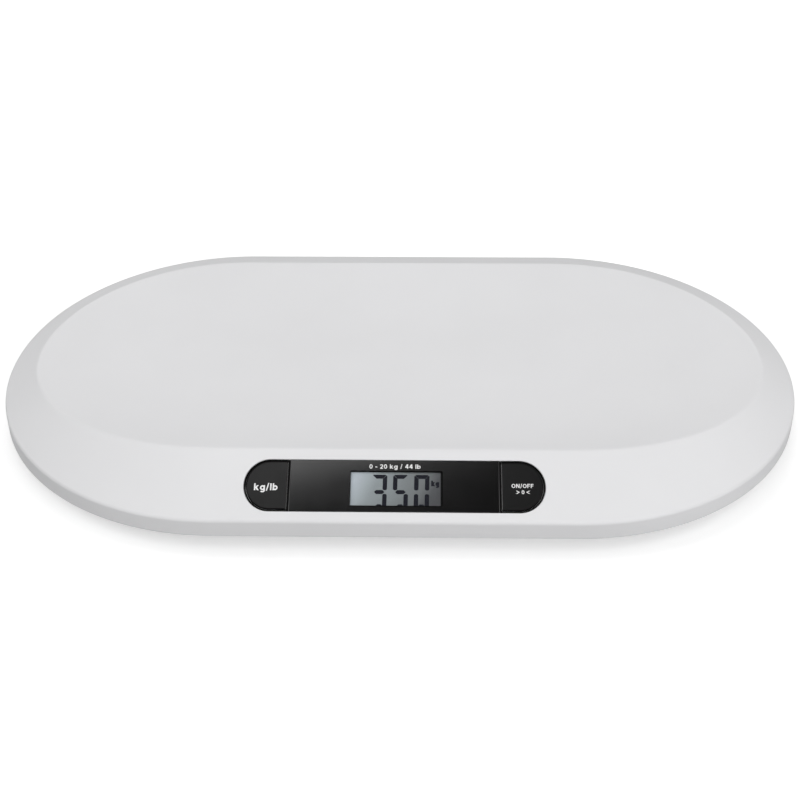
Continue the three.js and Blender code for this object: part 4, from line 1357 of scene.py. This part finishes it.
def set_camera():
    lens = bpy.data.cameras.new("camera")
    lens.sensor_fit = "HORIZONTAL"
    lens.sensor_width = SENSOR_WIDTH
    lens.lens = FOCAL_PIXELS / PHOTO_WIDTH * SENSOR_WIDTH
    lens.shift_x = -SHIFT_RIGHT_PIXELS / PHOTO_WIDTH
    lens.shift_y = SHIFT_DOWN_PIXELS / PHOTO_WIDTH
    lens.clip_end = CAMERA_REACH
    camera = placed_object("camera", lens)
    aim = Matrix.Translation((0, 0, CAMERA_AIM_HEIGHT * MM))
    turn = Matrix.Rotation(math.radians(-CAMERA_YAW), 4, "Z")
    tilt = Matrix.Rotation(math.radians(90 - CAMERA_ELEVATION), 4, "X")
    back = Matrix.Translation((0, 0, CAMERA_DISTANCE * MM))
    roll = Matrix.Rotation(math.radians(CAMERA_ROLL), 4, "Z")
    camera.matrix_world = aim @ turn @ tilt @ back @ roll
    bpy.context.scene.camera = camera


def soft_light(name, place, power, target=LAMP_AIM, size=LAMP_SIZE, degrees=0):
    light = bpy.data.lights.new(name, "AREA")
    light.shape = "RECTANGLE"
    light.size, light.size_y = size
    light.energy = power
    made = placed_object(name, light)
    made.location = place
    aim = (Vector(target) - Vector(place)).to_track_quat("-Z", "Y")
    turn = Quaternion((0, 0, 1), math.radians(degrees))
    made.rotation_euler = (aim @ turn).to_euler()


def seen_rays(tree):
    """1 for what the camera sees, straight or in gloss or glass, and 0 for scattered light."""
    rays = node(tree, "ShaderNodeLightPath").outputs
    seen = calculate(tree, "MAXIMUM", rays["Is Camera Ray"], rays["Is Glossy Ray"])
    return calculate(tree, "MAXIMUM", seen, rays["Is Transmission Ray"])


def set_floor():
    """A pale floor with the object's shadow, which the camera sees as pure white further out."""
    material, tree, shader = base_material("floor_pale", FLOOR_SEEN, 0.9)
    seen = seen_rays(tree)
    mix = node(tree, "ShaderNodeMix", data_type="RGBA", Factor=seen)
    colours = [socket for socket in mix.inputs if socket.type == "RGBA"]
    for socket, colour in zip(colours, (FLOOR_SCATTER, FLOOR_SEEN)):
        socket.default_value = (*colour, 1)
    result = [socket for socket in mix.outputs if socket.type == "RGBA"][0]
    distance = node(tree, "ShaderNodeVectorMath", object_place(tree), operation="LENGTH")
    fade = spread(tree, distance.outputs["Value"], FLOOR_LIFT, 1,
                  (FLOOR_FADE_START, FLOOR_FADE_END), interpolation_type="SMOOTHSTEP")
    feed(tree, shader, Base_Color=result, Emission_Color=(1, 1, 1, 1),
         Emission_Strength=calculate(tree, "MULTIPLY", seen, fade))
    outline = circle(STUDIO_RADIUS / MM, 0, steps=STUDIO_SIDES)
    loose_mesh("floor", outline, [tuple(range(STUDIO_SIDES))], material)
    return outline


def set_backdrop(outline):
    """A round white wall that only seen rays meet, so that it neither lights nor shades."""
    material = part_clear("backdrop_white", (1, 1, 1, 1), seen_rays, "ShaderNodeEmission")
    top = [(x, y, STUDIO_HEIGHT / MM) for x, y, _ in outline]
    faces = band_faces(STUDIO_SIDES, 0, STUDIO_SIDES)
    loose_mesh("backdrop", outline + top, faces, material)


def set_world():
    world = bpy.data.worlds.new("studio")
    world.use_nodes = True
    background = world.node_tree.nodes["Background"]
    background.inputs["Color"].default_value = (1, 1, 1, 1)
    background.inputs["Strength"].default_value = WORLD_LEVEL
    bpy.context.scene.world = world


finish_frame_nodes()
tray_shell()
display_bezel()
key("unit_key_cap", -1, "unit_key", "unit_button")
key("power_key_cap", 1, "power_key", "power_button")
underside()
window_lens()
cell_mask()
display_digits()
legend("unit_sign", "kg", 3.85, (25.55, 2.55), "housing", "lcd", CELL_TOP + INK_LIFT, ink_navy,
       3.3, 0.82)
legend("range_line", "0 - 20 kg / 44 lb", 3.1, (0.2, 13.3), "housing", "panel")
legend("unit_legend", "kg/lb", 4.8, (-80.6, -1.3), "unit_key", weight=2.1, wide=0.92)
legend("power_legend", "ON/OFF", 2.8, (80.2, 0.5), "power_key", wide=0.97)
legend("zero_legend", "> 0 <", 2.7, (80.4, -3.8), "power_key")
set_camera()
for lamp in LAMPS:
    soft_light(*lamp)
set_backdrop(set_floor())
set_world()

scene = bpy.context.scene
scene.view_settings.view_transform = "Standard"
